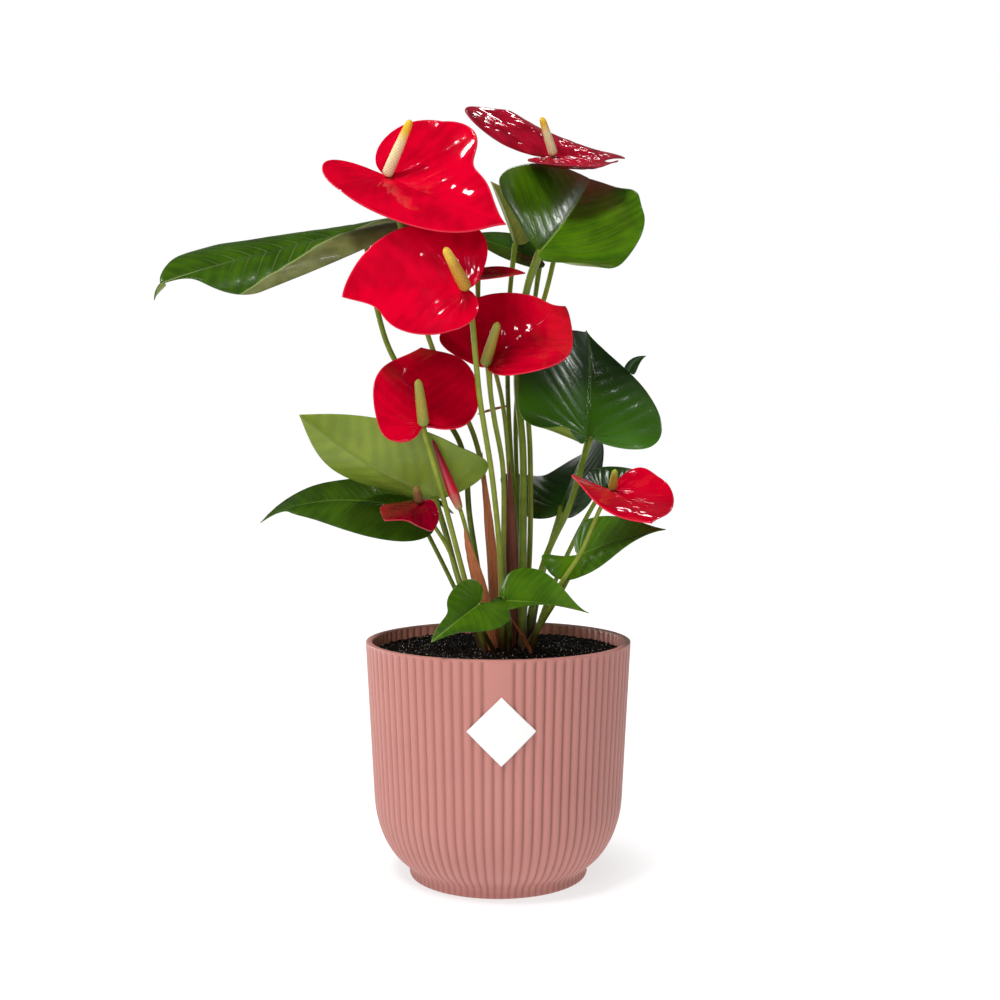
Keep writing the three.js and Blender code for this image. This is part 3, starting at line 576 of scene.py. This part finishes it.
def stalk_finish(name, foot, deep, bright, gloss, grain, fray):
    """The skin of a stalk: two greens mottled, and brown at its foot just over the soil."""
    finish = Finish(name, {"Roughness": gloss, "Specular IOR Level": 0.3})
    place = finish.node("TexCoord", {}, {}, "Object")
    height = finish.node("SeparateXYZ", {}, {0: place}, 2)
    mottle = finish.node("TexNoise", {}, {"Vector": place, "Scale": grain, "Detail": 4})
    green = finish.mix(deep, bright, mottle)
    finish.feed(finish.shader, {
        "Base Color": finish.mix(foot, green, finish.band(height + mottle * fray, 0.122, 0.15)),
        "Normal": finish.bump(mottle, 0.0002),
    })
    return finish


petiole_skin = stalk_finish(
    "petiole_skin", linear(0x4A2A20), linear(0x4C6210), linear(0x84962C), 0.38, grain=160, fray=0.012,
)


def rooted(places):
    """A stalk's points with one more, straight down in the soil."""
    x, y, _ = places[0]
    return [(x, y, SOIL_LEVEL - ROOT_DEPTH), *places]


def grow_leaf(name, faces, slot, through, radius, **blade):
    """A leaf: its blade, and its petiole from the soil through its points to the joint."""
    fine = blade.get("fine", 0.7)
    grow_blade(name + "_blade", blade, leaf_relief, LEAF_THICKNESS, faces, [name], fine)
    route = [*rooted(through), blade["joint"]]
    girth = lambda way: 1.12 - 0.2 * min(1, way * 2) + 0.25 * max(0, way * 12 - 11)
    grow_stalk(name + "_petiole", route, radius, girth, petiole_skin, [name])


def grow_drip_tip(leaf, slot, **tip):
    """The drip tip of a leaf, where it curls out on its own."""
    faces = [dark_leaf, leaf_under]
    grow_blade(leaf + "_drip_tip", tip, leaf_relief, LEAF_THICKNESS, faces, [leaf], 0.3)


grow_leaf(
    "leaf_long_left", [turned_leaf, leaf_under], "leaf",
    [(-5, 9, 118), (-15, 9, 186), (-21, 8, 229), (-55, 6, 272), (-64, 6, 298)], 1.6,
    joint=(-71, 11, 340), azimuth=202, rise=-14, roll=-6, length=117, width=59, lobe=36, gap=0.18,
    belly=0.6, taper=0.26, droop=6, sway=-10, twist=-24, curl_left=-87, curl_right=-39, fold=24,
    wave=0.7, wave_phase=4.8, lobe_skew=-0.2, vein_gap=9, fine=1.0,
    swells=[(0.17, -0.08, 0.06), (0.56, -0.07, 0.07)],
)
grow_drip_tip(
    "leaf_long_left", "leaf",
    joint=(-166.3, -35.9, 306.9), azimuth=205, rise=-45, roll=30, length=10, width=6, lobe=1, gap=0.6,
    belly=0.1, taper=0.2, droop=40,
)
grow_leaf(
    "leaf_high_right", [bright_leaf, leaf_under], "leaf",
    [(13, 1, 118), (13, 1, 163), (13, 1, 223), (10, 2, 264), (15, 0, 308)], 2.1,
    joint=(22, -6, 328), azimuth=55, rise=35, roll=48, length=88, width=89, lobe=15, gap=0.24,
    belly=0.2, taper=0.3, droop=16, sway=-13, twist=-23, curl_right=12, fold=25, lobe_curl=51,
    wave=2.2, wave_phase=3.8, skew=0.06, lobe_skew=0.5, vein_gap=9, fine=1.0,
    swells=[(0.37, 0.07, 0.03), (0.62, 0.05, 0.07), (0.83, 0.09, 0.05)],
)
grow_leaf(
    "leaf_young", [young_face, leaf_under], "young_leaf",
    [(10, 15, 118), (10, 14, 165), (7, 14, 218), (5, 15, 261), (6, 18, 305)], 1.4,
    joint=(9, 19, 335), azimuth=150, rise=68, roll=-20, length=38, width=26, lobe=3, gap=0.2,
    belly=0.3, taper=0.3, droop=5, fold=50, vein_gap=6,
)
grow_leaf(
    "leaf_behind", [dark_leaf, leaf_under], "dark_leaf",
    [(13, 17, 118), (12, 19, 164), (10, 24, 251), (17, 29, 286)], 1.4,
    joint=(23, 31, 328), azimuth=170, rise=22, roll=-45, length=46, width=24, lobe=5, gap=0.2,
    belly=0.2, taper=0.3, droop=10, fold=10, vein_gap=6,
)
grow_leaf(
    "leaf_right", [leaf_with_painted_light_lobes, leaf_under], "dark_leaf",
    [(14, 5, 118), (25, 5, 166), (38, 7, 194), (43, 8, 210)], 1.9,
    joint=(49, 11, 231), azimuth=84, rise=58, roll=30, length=84, width=86, lobe=14, gap=0.35,
    belly=0.14, taper=0.06, droop=20, sway=4, twist=16, curl_left=-19, fold=19, lobe_curl=54,
    skew=-0.08, lobe_skew=-0.49, vein_gap=9, fine=1.0,
    swells=[(0.49, -0.06, 0.11), (0.68, 0.05, 0.12), (0.93, 0.42, 0.05)],
)
grow_drip_tip(
    "leaf_right", "dark_leaf",
    joint=(73.4, 45.8, 267.6), azimuth=0, rise=72, roll=90, length=14, width=7, lobe=1, gap=0.6,
    belly=0.1, taper=0.1, sway=60,
)
grow_leaf(
    "leaf_pale_left", [bright_leaf, leaf_under], "pale_leaf",
    [(-9, -2, 118), (-21, -7, 157), (-28, -9, 183)], 1.7,
    joint=(-33, -15, 200), azimuth=189, rise=23, roll=32, length=83, width=61, lobe=16, gap=0.35,
    belly=0.1, taper=0.27, droop=7, sway=-29, twist=31, curl_left=14, fold=22, lobe_curl=2,
    wave=3.4, wave_phase=3.7, skew=-0.12, lobe_skew=-0.12, vein_gap=9, fine=0.9,
    swells=[(0.2, 0.25, 0.11), (0.88, 0.11, 0.06)],
)
grow_leaf(
    "leaf_low_left", [deep_leaf, leaf_under], "leaf",
    [(-9, 5, 118), (-24, 5, 152)], 1.3,
    joint=(-44, 13, 191), azimuth=202, rise=17, roll=-38, length=88, width=45, lobe=14, gap=0.12,
    belly=0.19, taper=0.12, droop=62, curl_left=-41, curl_right=-7, fold=10, lobe_curl=-13, wave=1.2,
    wave_phase=2.9, lobe_skew=0.2, fine=0.9,
    swells=[(0.3, -0.21, 0.07), (0.41, 0.05, 0.08), (0.55, -0.08, 0.04), (0.71, 0.06, 0.08)],
)
grow_leaf(
    "leaf_back_right", [dark_leaf, leaf_under], "dark_leaf",
    [(17, 11, 118), (23, 16, 153)], 1.7,
    joint=(35, 28, 193), azimuth=73, rise=39, roll=-24, length=78, width=60, lobe=13, gap=0.12,
    belly=0.17, taper=0.13, droop=29, twist=-33, curl_left=49, fold=12, lobe_curl=-12, wave=1.9,
    wave_phase=5.2, lobe_skew=0.31, fine=0.9,
    swells=[
        (0.16, 0.14, 0.04), (0.43, -0.18, 0.04), (0.67, -0.15, 0.04), (0.76, 0.24, 0.04), (0.88, 0.22, 0.05),
    ],
)
grow_leaf(
    "leaf_low_right", [bright_leaf, leaf_under], "leaf",
    [(14, -6, 118), (20, -8, 129), (32, -15, 150)], 1.5,
    joint=(42, -24, 171), azimuth=-48, rise=20, roll=45, length=55, width=31, lobe=12, gap=0.1,
    belly=0.1, taper=0.23, droop=16, sway=-3, curl_left=6, curl_right=-53, fold=14, lobe_curl=45,
    wave=1.3, skew=-0.1, lobe_skew=0.47, vein_gap=6,
    swells=[(0.04, 0.26, 0.06), (0.19, 0.14, 0.03), (0.81, 0.12, 0.08)],
)
grow_leaf(
    "leaf_behind_flower", [dark_leaf, leaf_under], "dark_leaf",
    [(18, -1, 118), (26, -4, 145), (40, -6, 177)], 1.3,
    joint=(54, -8, 203), azimuth=43, rise=12, roll=38, length=42, width=28, lobe=8, gap=0.26,
    belly=0.13, taper=0.3, droop=15, fold=19, wave=0.9, wave_phase=3.5, skew=0.07, vein_gap=6,
)
grow_leaf(
    "leaf_rim_left", [bright_leaf, leaf_under], "leaf",
    [(-2, -15, 118), (-7, -28, 131)], 1.3,
    joint=(-10, -50, 148), azimuth=230, rise=-21, roll=-46, length=31, width=32, lobe=9, gap=0.18,
    belly=0.08, taper=0.1, droop=18, curl_left=-7, fold=24, wave=0.9, wave_phase=1.5, skew=-0.11,
    vein_gap=5, swells=[(0.39, -0.23, 0.04), (0.43, 0.14, 0.1), (0.6, -0.08, 0.05), (0.78, 0.04, 0.1)],
)
grow_leaf(
    "leaf_rim_right", [bright_leaf, leaf_under], "leaf",
    [(6, -14, 118), (6, -23, 132)], 1.3,
    joint=(4, -30, 148), azimuth=-31, rise=2, roll=42, length=43, width=29, lobe=7, gap=0.15,
    belly=0.19, taper=0.13, droop=12, twist=-10, fold=24, lobe_curl=-15, wave=2.7, wave_phase=1.1,
    skew=-0.11, lobe_skew=0.16, vein_gap=5,
    swells=[(0.22, -0.28, 0.1), (0.46, 0.08, 0.1), (0.82, 0.11, 0.05), (0.97, 0.14, 0.18)],
)


# ---- The sheaths ----
# Cataphylls: narrow dry papery sheaths, brown with a pink cast, that once wrapped the young stalks. Four
# stand among the stalks, and a torn dry bract hangs behind them.

SHEATH_THICKNESS = 0.35
SHEATH_FOOT = SOIL_LEVEL + SOIL_MOUND + 0.3


def sheath_finish(name, dark, pale, dullness):
    """Dry brown paper with fine streaks that run up it."""
    finish = Finish(name, {"Roughness": dullness, "Specular IOR Level": 0.3})
    place = finish.node("TexCoord", {}, {}, "Object")
    streaked = finish.node("Mapping", {}, {"Vector": place, "Scale": (900, 900, 60)})
    streaks = finish.node("TexNoise", {}, {"Vector": streaked, "Scale": 1, "Detail": 4})
    finish.feed(finish.shader, {
        "Base Color": finish.mix(dark, pale, streaks),
        "Normal": finish.bump(streaks, 0.0003),
    })
    return finish


sheath_paper = sheath_finish("sheath_paper", linear(0x8E4828), linear(0xC67C4E), 0.6)
dark_sheath_paper = sheath_finish("sheath_paper_dark", linear(0x4C1E18), linear(0x9A5A45), 0.55)


def sheath_relief(x, y, share, rank, half):
    """Ribs along the sheath, and crumples towards its edge."""
    return 0.18 * math.sin(x * 5) + 0.35 * noise.noise(Vector((x / 3, y / 9, half))) * share


def grow_sheath(name, joint, tip, width, curl, finish):
    """A sheath as a narrow blade from its foot straight to its tip, both sides curled in."""
    way = Vector(tip) - Vector(joint)
    blade = dict(
        joint=joint, azimuth=math.degrees(math.atan2(way.y, way.x)), roll=0,
        rise=math.degrees(math.atan2(way.z, math.hypot(way.x, way.y))), length=way.length,
        width=width, lobe=1, gap=0.6, belly=0.35, taper=0.3, curl_left=curl, curl_right=curl,
    )
    grow_blade(name + "_paper", blade, sheath_relief, SHEATH_THICKNESS, [finish], [name], 0.35)


grow_sheath("sheath_left", (-4, -12.5, SHEATH_FOOT), (-17.5, -30, 186), 11, 70, sheath_paper)
grow_sheath("sheath_middle", (-1.6, -2, SHEATH_FOOT), (-8.4, -9, 223), 9, 70, sheath_paper)
grow_sheath("sheath_right", (6.5, 0, SHEATH_FOOT), (6, -2, 218), 9, 70, dark_sheath_paper)
grow_sheath("sheath_low", (16.5, -19.5, SHEATH_FOOT), (6.5, -20, 138), 6, 70, sheath_paper)
grow_sheath("bract_dry", (4, 5.2, 247), (-11, 8, 243), 9, 20, sheath_paper)


# ---- The flowers ----
# Each flower is a glossy waxy red spathe on a thin green peduncle, with a spadix standing on it where
# they meet. The spathe is puckered between its veins, and the spadix is a spike of tiny close flowers.

SPATHE_THICKNESS = 0.7
SPIKE_COLUMNS = 60
SPIKE_RINGS = 150
BEADS_AROUND = 11
BEAD_HEIGHT = 0.3


def spathe_relief(quilting, wrinkling):
    """Puckers and wrinkles along the veins near the joint, and a quilting of small cushions all over."""

    def relief(x, y, share, rank, half):
        off_vein = abs(rank - round(rank))
        strength = 0.5 + 0.9 * noise.noise(Vector((x / 14, y / 14, half + 9)))
        fade = 0.15 + 0.85 * math.exp(-(((share - 0.32) / 0.25) ** 2))
        puff = 0.6 * max(0, strength) * math.sin(math.pi * off_vein) ** 2 * fade * min(1, share * 3)
        puff += wrinkling * strength * math.sin(4 * math.pi * rank) * fade * min(1, share * 4)
        rib = -0.25 * math.exp(-((x / 1.2) ** 2)) * (1 - share)
        cell = noise.voronoi(Vector((x / 8, y / 8, half)))[0]
        cushion = quilting * min(cell[1] - cell[0], 0.5) * min(1, share * 2)
        roll = 0.5 * noise.noise(Vector((x / 15, y / 15, half + 3))) * share
        return (puff + rib + cushion + roll) * (1 - share**8)

    return relief


def spathe_finish(name, deep, bright, edge):
    """Waxy red under a clear gloss: two reds in clouds, a little darker along the veins, and one red
    at the edge, which where it is lighter than the reds is a painted highlight along the rim."""
    finish = Finish(name, {"Roughness": 0.4, "Specular IOR Level": 0, "Coat Roughness": 0.06})
    flat = finish.node("Attribute", {"attribute_name": "flat"}, {}, "Vector")
    rank, share = (finish.node("SeparateXYZ", {}, {0: flat}, i) for i in (0, 2))
    place = finish.node("TexCoord", {}, {}, "Object")
    cloud = finish.node("TexNoise", {}, {"Vector": place, "Scale": 60, "Detail": 3})
    fine = finish.node("TexNoise", {}, {"Vector": place, "Scale": 420, "Detail": 2})
    off_vein = finish.node("Math", {"operation": "PINGPONG"}, {0: rank, 1: 0.5})
    red = finish.mix(deep, bright, finish.band(cloud + off_vein * 0.2, 0.35, 0.7))
    finish.feed(finish.shader, {
        "Base Color": finish.mix(red, edge, finish.band(share, 0.98, 0.998)),
        "Coat Weight": 0.6,
        "Normal": finish.bump(fine, 0.00015),
    })
    return finish


# The edge red of spathe_red and spathe_dark is lighter than their reds: a painted highlight along the rim.
spathe_red = spathe_finish("spathe_red", linear(0xB4001E), linear(0xD00026), linear(0xD8283E))
spathe_dusky = spathe_finish("spathe_dusky_red", linear(0x8E0A1E), linear(0xB81430), linear(0x9A2438))
spathe_back = spathe_finish("spathe_back", linear(0x8A0A1E), linear(0xA81430), linear(0x6E0A18))
spathe_dark = spathe_finish("spathe_dark_red", linear(0x5C0012), linear(0x88001C), linear(0xB0303A))

peduncle_skin = stalk_finish(
    "peduncle_skin", linear(0x4E2E24), linear(0x667418), linear(0x9CA63A), 0.4, grain=140, fray=0.014,
)


def spadix_finish(name, foot, middle, tip):
    """Three colours up the spike, each darker between the beads, as painted shade in the hollows there."""
    finish = Finish(name, {"Roughness": 0.5, "Specular IOR Level": 0.45})
    bead = finish.node("Attribute", {"attribute_name": "bead"}, {}, "Vector")
    along, height = (finish.node("SeparateXYZ", {}, {0: bead}, i) for i in range(2))
    stops = [(0, foot), (0.4, middle), (0.6, middle), (0.82, tip)]
    colour = finish.node("ValToRGB", {"stops": stops}, {0: along})
    # Painted shade: where a bead is low, its colour is multiplied darker.
    darken = {"data_type": "RGBA", "blend_type": "MULTIPLY"}
    dark = finish.node("Mix", darken, {0: 0.55, 6: colour, 7: linear(0x9A8448)}, 2)
    finish.feed(finish.shader, {"Base Color": finish.mix(dark, colour, finish.band(height, 0.1, 0.7))})
    return finish


cream = spadix_finish("spadix_cream", linear(0xF4E3B8), linear(0xF6E8B4), linear(0xF2C52C))
gold = spadix_finish("spadix_gold", linear(0xB98A22), linear(0xC89226), linear(0xE8C040))
olive = spadix_finish("spadix_olive", linear(0x8C9A45), linear(0xA79A38), linear(0x9C9A3C))
fresh = spadix_finish("spadix_fresh", linear(0xA89A3A), linear(0xB0A23A), linear(0xA8AC3C))
dusky = spadix_finish("spadix_dusky", linear(0x6A3A1C), linear(0x7E4E22), linear(0x8C6430))


def grow_round(name, base, lean, length, radius, tip_share, relief, finish, nodes):
    """A rounded spike from its base along its lean. The attribute 'bead' holds how far along it and how
    high a point is."""
    bm = bmesh.new()
    bead = bm.verts.layers.float_vector.new("bead")
    bmesh.ops.create_grid(bm, x_segments=SPIKE_COLUMNS, y_segments=SPIKE_RINGS, size=0.5)
    stand = Vector((0, 0, 1)).rotation_difference(Vector(lean)).to_matrix()
    for vert in bm.verts:
        angle = (vert.co.x + 0.5) * 2 * math.pi
        along = 0.5 - 0.5 * math.cos((vert.co.y + 0.5) * math.pi)
        height = along * length
        end = max(radius - height, height - length + radius, 0)
        girth = math.sqrt(max(radius**2 - end**2, 0)) * (1 - (1 - tip_share) * along**2)
        rise = relief(angle, height, radius)
        reach = girth + rise * girth / radius
        vert[bead] = (along, rise / BEAD_HEIGHT, 0)
        spot = Vector((reach * math.cos(angle), reach * math.sin(angle), height - radius))
        vert.co = (Vector(base) + stand @ spot) * MM
    bmesh.ops.remove_doubles(bm, verts=bm.verts, dist=1e-6)
    bmesh.ops.recalc_face_normals(bm, faces=bm.faces)
    return finished(name, bm, [finish], nodes)


def beads(angle, height, radius):
    """The close-set flowers of a spadix, in rows that step half a flower each time."""
    pitch = 2 * math.pi * radius / BEADS_AROUND * 0.8
    nearest = 9
    for row in (math.floor(height / pitch), math.ceil(height / pitch)):
        turn = angle / (2 * math.pi) * BEADS_AROUND + row * 0.5
        across = (turn - round(turn)) * 1.1
        nearest = min(nearest, across**2 + ((height / pitch - row) * 0.95) ** 2)
    return BEAD_HEIGHT * max(0, 1 - 2.6 * nearest)


def grow_flower(
    name, through, radius, spadix, finish=spathe_red, back=spathe_back, slot="spathe", quilting=0.2,
    wrinkling=0.14, **spathe
):
    """A flower: its stalk from the soil through its points to the joint, the spathe on its end, and the
    spadix, which is given by its lean, length, radius, skin and slot; the slot is not used."""
    up = midrib(spathe)[0][1] @ Vector((0, 0, 1))
    joint = Vector(spathe["joint"])
    lean, length, thick, spadix_skin, spadix_slot = spadix
    girth = lambda way: 1.05 - 0.15 * min(1, way * 2) + 0.3 * max(0, way * 14 - 13)
    grow_stalk(
        name + "_stalk", [*rooted(through), joint - up * 0.5], radius, girth, peduncle_skin,
        [name + "_peduncle"],
    )
    grow_blade(
        name + "_heart", spathe, spathe_relief(quilting, wrinkling), SPATHE_THICKNESS, [finish, back],
        [name + "_spathe"], spathe.get("fine", 1.0),
    )
    grow_round(
        name + "_spike", joint + up * (0.6 + thick), lean, length, thick, 0.6, beads, spadix_skin,
        [name + "_spadix"],
    )


grow_flower(
    "flower_high_left", [(-1, 3, 118), (-5, 2, 184), (-12, 2, 229), (-34, -3, 276), (-43, -6, 307)], 1.5,
    ((13, -14, 24), 32, 2.7, cream, "cream_spadix"),
    joint=(-56, -12, 364), azimuth=-45, rise=-24, roll=29, length=78, width=76, lobe=29, gap=0.06,
    belly=0.11, taper=0.22, droop=13, sway=-17, twist=21, curl_left=26, curl_right=6, fold=8,
    lobe_curl=9, wave=1, wave_phase=6.1, skew=-0.1, vein_gap=9, wrinkling=0.28,
    swells=[
        (0.05, 0.18, 0.1), (0.24, -0.1, 0.11), (0.39, 0.12, 0.07), (0.64, -0.13, 0.03), (0.68, 0.09, 0.05),
    ],
)
grow_flower(
    "flower_large",
    [(2, -8, 118), (1, -13, 167), (-3, -24, 210), (-9, -38, 249), (-11, -44, 269), (-13, -47, 290)], 1.6,
    ((-9, -14, 16), 26, 2.9, gold, "gold_spadix"),
    joint=(-16, -48, 303), azimuth=170, rise=11, roll=-65, length=65, width=65, lobe=9, gap=0.08,
    belly=0.21, taper=0.36, droop=15, sway=-25, twist=-17, fold=7, skew=0.12, vein_gap=9,
    swells=[(0.08, -0.21, 0.05), (0.28, -0.08, 0.07), (0.58, -0.12, 0.06), (0.95, 0.3, 0.09)],
)
grow_flower(
    "flower_middle", [(4, -4, 118), (2.8, -6, 166), (2.4, -11, 215), (-2, -18, 240), (-4, -22, 254)], 1.5,
    ((6.5, -14, 20), 26, 2.7, olive, "green_spadix"),
    joint=(-5, -23, 267), azimuth=22, rise=40, roll=29, length=57, width=73, lobe=8, gap=0.28,
    belly=0.22, taper=0.28, droop=15, twist=34, curl_left=7, curl_right=14, fold=8, lobe_curl=33,
    wave=0.5, wave_phase=5.5, lobe_skew=-0.18, vein_gap=8,
    swells=[(0.11, -0.3, 0.1), (0.53, -0.06, 0.04), (0.83, 0.15, 0.05), (0.93, -0.48, 0.07)],
)
grow_flower(
    "flower_front", [(-7, -12, 118), (-17, -20, 157), (-25, -27, 189), (-30, -33, 209)], 1.5,
    ((-2, -12, 21), 26, 2.7, olive, "green_spadix"),
    joint=(-38, -35, 237), azimuth=99, rise=60, roll=5, length=51, width=55, lobe=8, gap=0.1,
    belly=0.28, taper=0.37, droop=13, sway=7, curl_right=30, fold=4, wave=2.7, wave_phase=0.5,
    skew=0.09, lobe_skew=-0.36, vein_gap=7, wrinkling=0.22,
    swells=[(0.1, 0.15, 0.07), (0.37, 0.05, 0.07), (0.85, 0.1, 0.04)],
)
grow_flower(
    "flower_right", [(17, -13, 118), (29, -30, 152), (42, -39, 174), (51, -43, 196)], 1.2,
    ((0.6, -8, 9), 13, 2, fresh, "cream_spadix"),
    joint=(56, -44, 204), azimuth=-72, rise=-14, roll=-12, length=49, width=51, lobe=12, gap=0.26,
    belly=0.17, taper=0.37, droop=13, sway=-7, curl_left=51, lobe_curl=31, wave=2.7, wave_phase=3.9,
    skew=-0.09, lobe_skew=-0.24, vein_gap=7, wrinkling=0.4,
    swells=[(0.08, -0.14, 0.06), (0.17, 0.14, 0.05), (0.29, -0.09, 0.2), (0.52, -0.05, 0.06)],
)
grow_flower(
    "flower_high_right", [
        (12, 11, 118), (16.5, 10, 162), (17, 10, 223), (15, 11, 261), (18, 15, 285), (26, 22, 310),
        (32, 35, 341),
    ], 1.5,
    ((-7, -8, 19), 22, 2.4, cream, "cream_spadix"),
    joint=(29, 41, 386), azimuth=35, rise=7, roll=42, length=51, width=81, lobe=37, gap=0.07,
    belly=0.12, taper=0.29, droop=5, twist=-22, curl_left=-10, curl_right=35, fold=6, lobe_curl=17,
    wave=0.8, wave_phase=4.7, skew=-0.11, lobe_skew=-0.27, vein_gap=8, quilting=0.9, finish=spathe_dusky,
    swells=[(0.22, 0.22, 0.1), (0.4, -0.26, 0.08), (0.57, 0.23, 0.09), (0.78, 0.08, 0.04)],
)
grow_flower(
    "flower_low_left", [(-7, -7, 118), (-19, -13, 154), (-26, -19, 174)], 1.2,
    ((-1, -5, 8), 10, 2, dusky, "gold_spadix"), finish=spathe_dark, back=spathe_dark, slot="dark_spathe",
    joint=(-40, -31, 197), azimuth=220, rise=-15, roll=-12, length=23, width=31, lobe=5, gap=0.1,
    belly=0.16, taper=0.4, droop=7, sway=-6, twist=-15, curl_left=-38, curl_right=-22, fold=-4,
    lobe_curl=37, wave=1.5, wave_phase=2.9, vein_gap=5, fine=0.7,
    swells=[(0.28, 0.2, 0.09), (0.61, -0.07, 0.05), (0.74, 0.09, 0.03), (0.93, 0.12, 0.05)],
)
grow_flower(
    "flower_behind", [(7, 6, 118), (7, 4, 176), (6, 2, 208), (2, -0.5, 250), (-10, 4, 297)], 1.3,
    ((-2, -4, 9), 9, 1.7, gold, "gold_spadix"),
    joint=(-11, 7, 316), azimuth=-15, rise=4, roll=24, length=26, width=22, lobe=6, gap=0.2,
    belly=0.2, taper=0.3, droop=6, fold=6, vein_gap=4, fine=0.6,
)


# ---- The bud ----
# A young flower whose spathe is still rolled tight round its spadix: red, and pink to yellow at its foot,
# with the free edge of the roll running up it.

BUD_BASE = Vector((-20, -29, 196))
BUD_TIP = Vector((-34, -32, 232))


def bud_roll(angle, height, radius):
    """How far the roll stands out: one step at its free edge, and drawn in at its foot."""
    turn = (angle - 2.4 + height * 0.035) % (2 * math.pi)
    return 0.45 * (1 - turn / (2 * math.pi)) * min(1, turn * 6) - 1.3 * max(0, 1 - height / 9)


bud_skin = Finish("bud_skin", {"Roughness": 0.3, "Coat Weight": 0.5, "Coat Roughness": 0.1})
bead = bud_skin.node("Attribute", {"attribute_name": "bead"}, {}, "Vector")
along = bud_skin.node("SeparateXYZ", {}, {0: bead}, 0)
bud_skin.feed(bud_skin.shader, {
    "Base Color": bud_skin.node("ValToRGB", {"stops": [
        (0, linear(0x8C8A3A)), (0.1, linear(0xA8603A)), (0.28, linear(0xB81630)), (0.8, linear(0x7E0A1C)),
    ]}, {0: along}),
})
bud_way = (BUD_TIP - BUD_BASE).normalized()
grow_stalk(
    "bud_stalk", [*rooted([(-3, -5, 118), (-11, -13, 156), (-17, -24, 186)]), BUD_BASE - bud_way * 2.6], 1.2,
    lambda way: 1.05 - 0.15 * way, peduncle_skin, ["bud_peduncle"],
)
grow_round(
    "bud_spathe", BUD_BASE, bud_way, (BUD_TIP - BUD_BASE).length, 2.7, 0.25, bud_roll, bud_skin,
    ["bud"],
)


# ---- The studio ----
# A white floor that glows, its glow dimmed round the pot's foot as a painted shadow, and a white backdrop.
# One soft light hangs above and to the left, one stands in front, and small ones all round give only the
# glints on the waxy faces. The camera is level with the leaves.

bpy.ops.mesh.primitive_plane_add(size=12, location=(0, 0, 0))
floor = bpy.context.object
floor.name = "studio_floor"
floor_white = Finish("studio_white", {
    "Base Color": (0.3, 0.3, 0.3, 1), "Roughness": 0.8, "Specular IOR Level": 0, "Emission Strength": 1,
})
place = floor_white.node("TexCoord", {}, {}, "Object")
away = floor_white.node("VectorMath", {"operation": "LENGTH"}, {0: place}, "Value")
# Painted shadow: the floor's glow is dimmer nearer than about 11 cm to the middle, round the pot's foot.
clear = floor_white.band(away, 0.045, 0.11)
floor_white.feed(floor_white.shader, {
    "Emission Color": floor_white.mix((0.72, 0.72, 0.72, 1), (1, 1, 1, 1), clear),
})
floor.data.materials.append(floor_white.material)

sky = Finish("studio_sky", {"Color": (1, 1, 1, 1)}, bpy.data.worlds, "Background")
way = sky.node("TexCoord", {}, {}, "Generated")
seen = sky.node("LightPath", {}, {}, "Is Camera Ray")
mirrored = sky.node("LightPath", {}, {}, "Is Glossy Ray")
behind = sky.band(sky.node("SeparateXYZ", {}, {0: way}, 1), 0.6, 0.85)
right = sky.band(sky.node("SeparateXYZ", {}, {0: way}, 0), -0.3, 0.8)
high = sky.band(sky.node("SeparateXYZ", {}, {0: way}, 2), 0.2, 0.45)
soft = (0.19 - right * 0.12) * (1 - mirrored)
glossy = 0.015 + behind * (0.45 - high * 0.4)
sky.feed(sky.shader, {"Strength": seen + (1 - seen) * (soft + mirrored * glossy)})
bpy.context.scene.world = sky.material

LAMP_DISTANCE = 1.6
LAMP_AIM = Vector((0, 0, 0.25))


def light(name, azimuth, rise, size, power, glint):
    """A lamp that faces the leaves, its azimuth turned from the front to the right. It is either a soft
    lamp that shows in no reflection or, as a glint, only a reflection in what is glossy."""
    lamp = bpy.data.lights.new(name, "AREA")
    lamp.shape = "RECTANGLE"
    lamp.size, lamp.size_y = size
    lamp.energy = power
    holder = bpy.data.objects.new(name, lamp)
    turn, up = math.radians(azimuth), math.radians(rise)
    way = Vector((math.sin(turn) * math.cos(up), -math.cos(turn) * math.cos(up), math.sin(up)))
    holder.location = LAMP_AIM + LAMP_DISTANCE * way
    holder.rotation_euler = (-way).to_track_quat("-Z", "Y").to_euler()
    holder.visible_glossy = glint
    holder.visible_diffuse = not glint
    bpy.context.scene.collection.objects.link(holder)


light("soft_top", -38, 60, (0.4, 0.4), 20, False)
light("soft_front", -24, 20, (0.8, 0.8), 7, False)
light("glint_right", 110, 36, (0.05, 0.3), 3, True)
light("glint_high_right", 98, 70, (0.03, 0.12), 0.5, True)
light("glint_back", 166, 43, (0.14, 0.06), 0.5, True)
light("glint_top", 18, 65, (0.18, 0.05), 1.6, True)
light("glint_front", -15, 40, (0.08, 0.06), 1, True)
light("glint_left", -87, 44, (0.08, 0.2), 4, True)
light("glint_high_left", -66, 60, (0.06, 0.06), 1.6, True)
light("haze_left", -125, 4, (0.7, 0.9), 12, True)

camera = bpy.data.objects.new("photo_camera", bpy.data.cameras.new("photo_camera"))
camera.location = (0.00093, -0.7, 0.2281)
camera.rotation_euler = (math.radians(87.51), 0, 0)
camera.data.sensor_width = 36
camera.data.lens = 47.76
bpy.context.scene.collection.objects.link(camera)
bpy.context.scene.camera = camera
bpy.context.scene.view_settings.view_transform = "Standard"
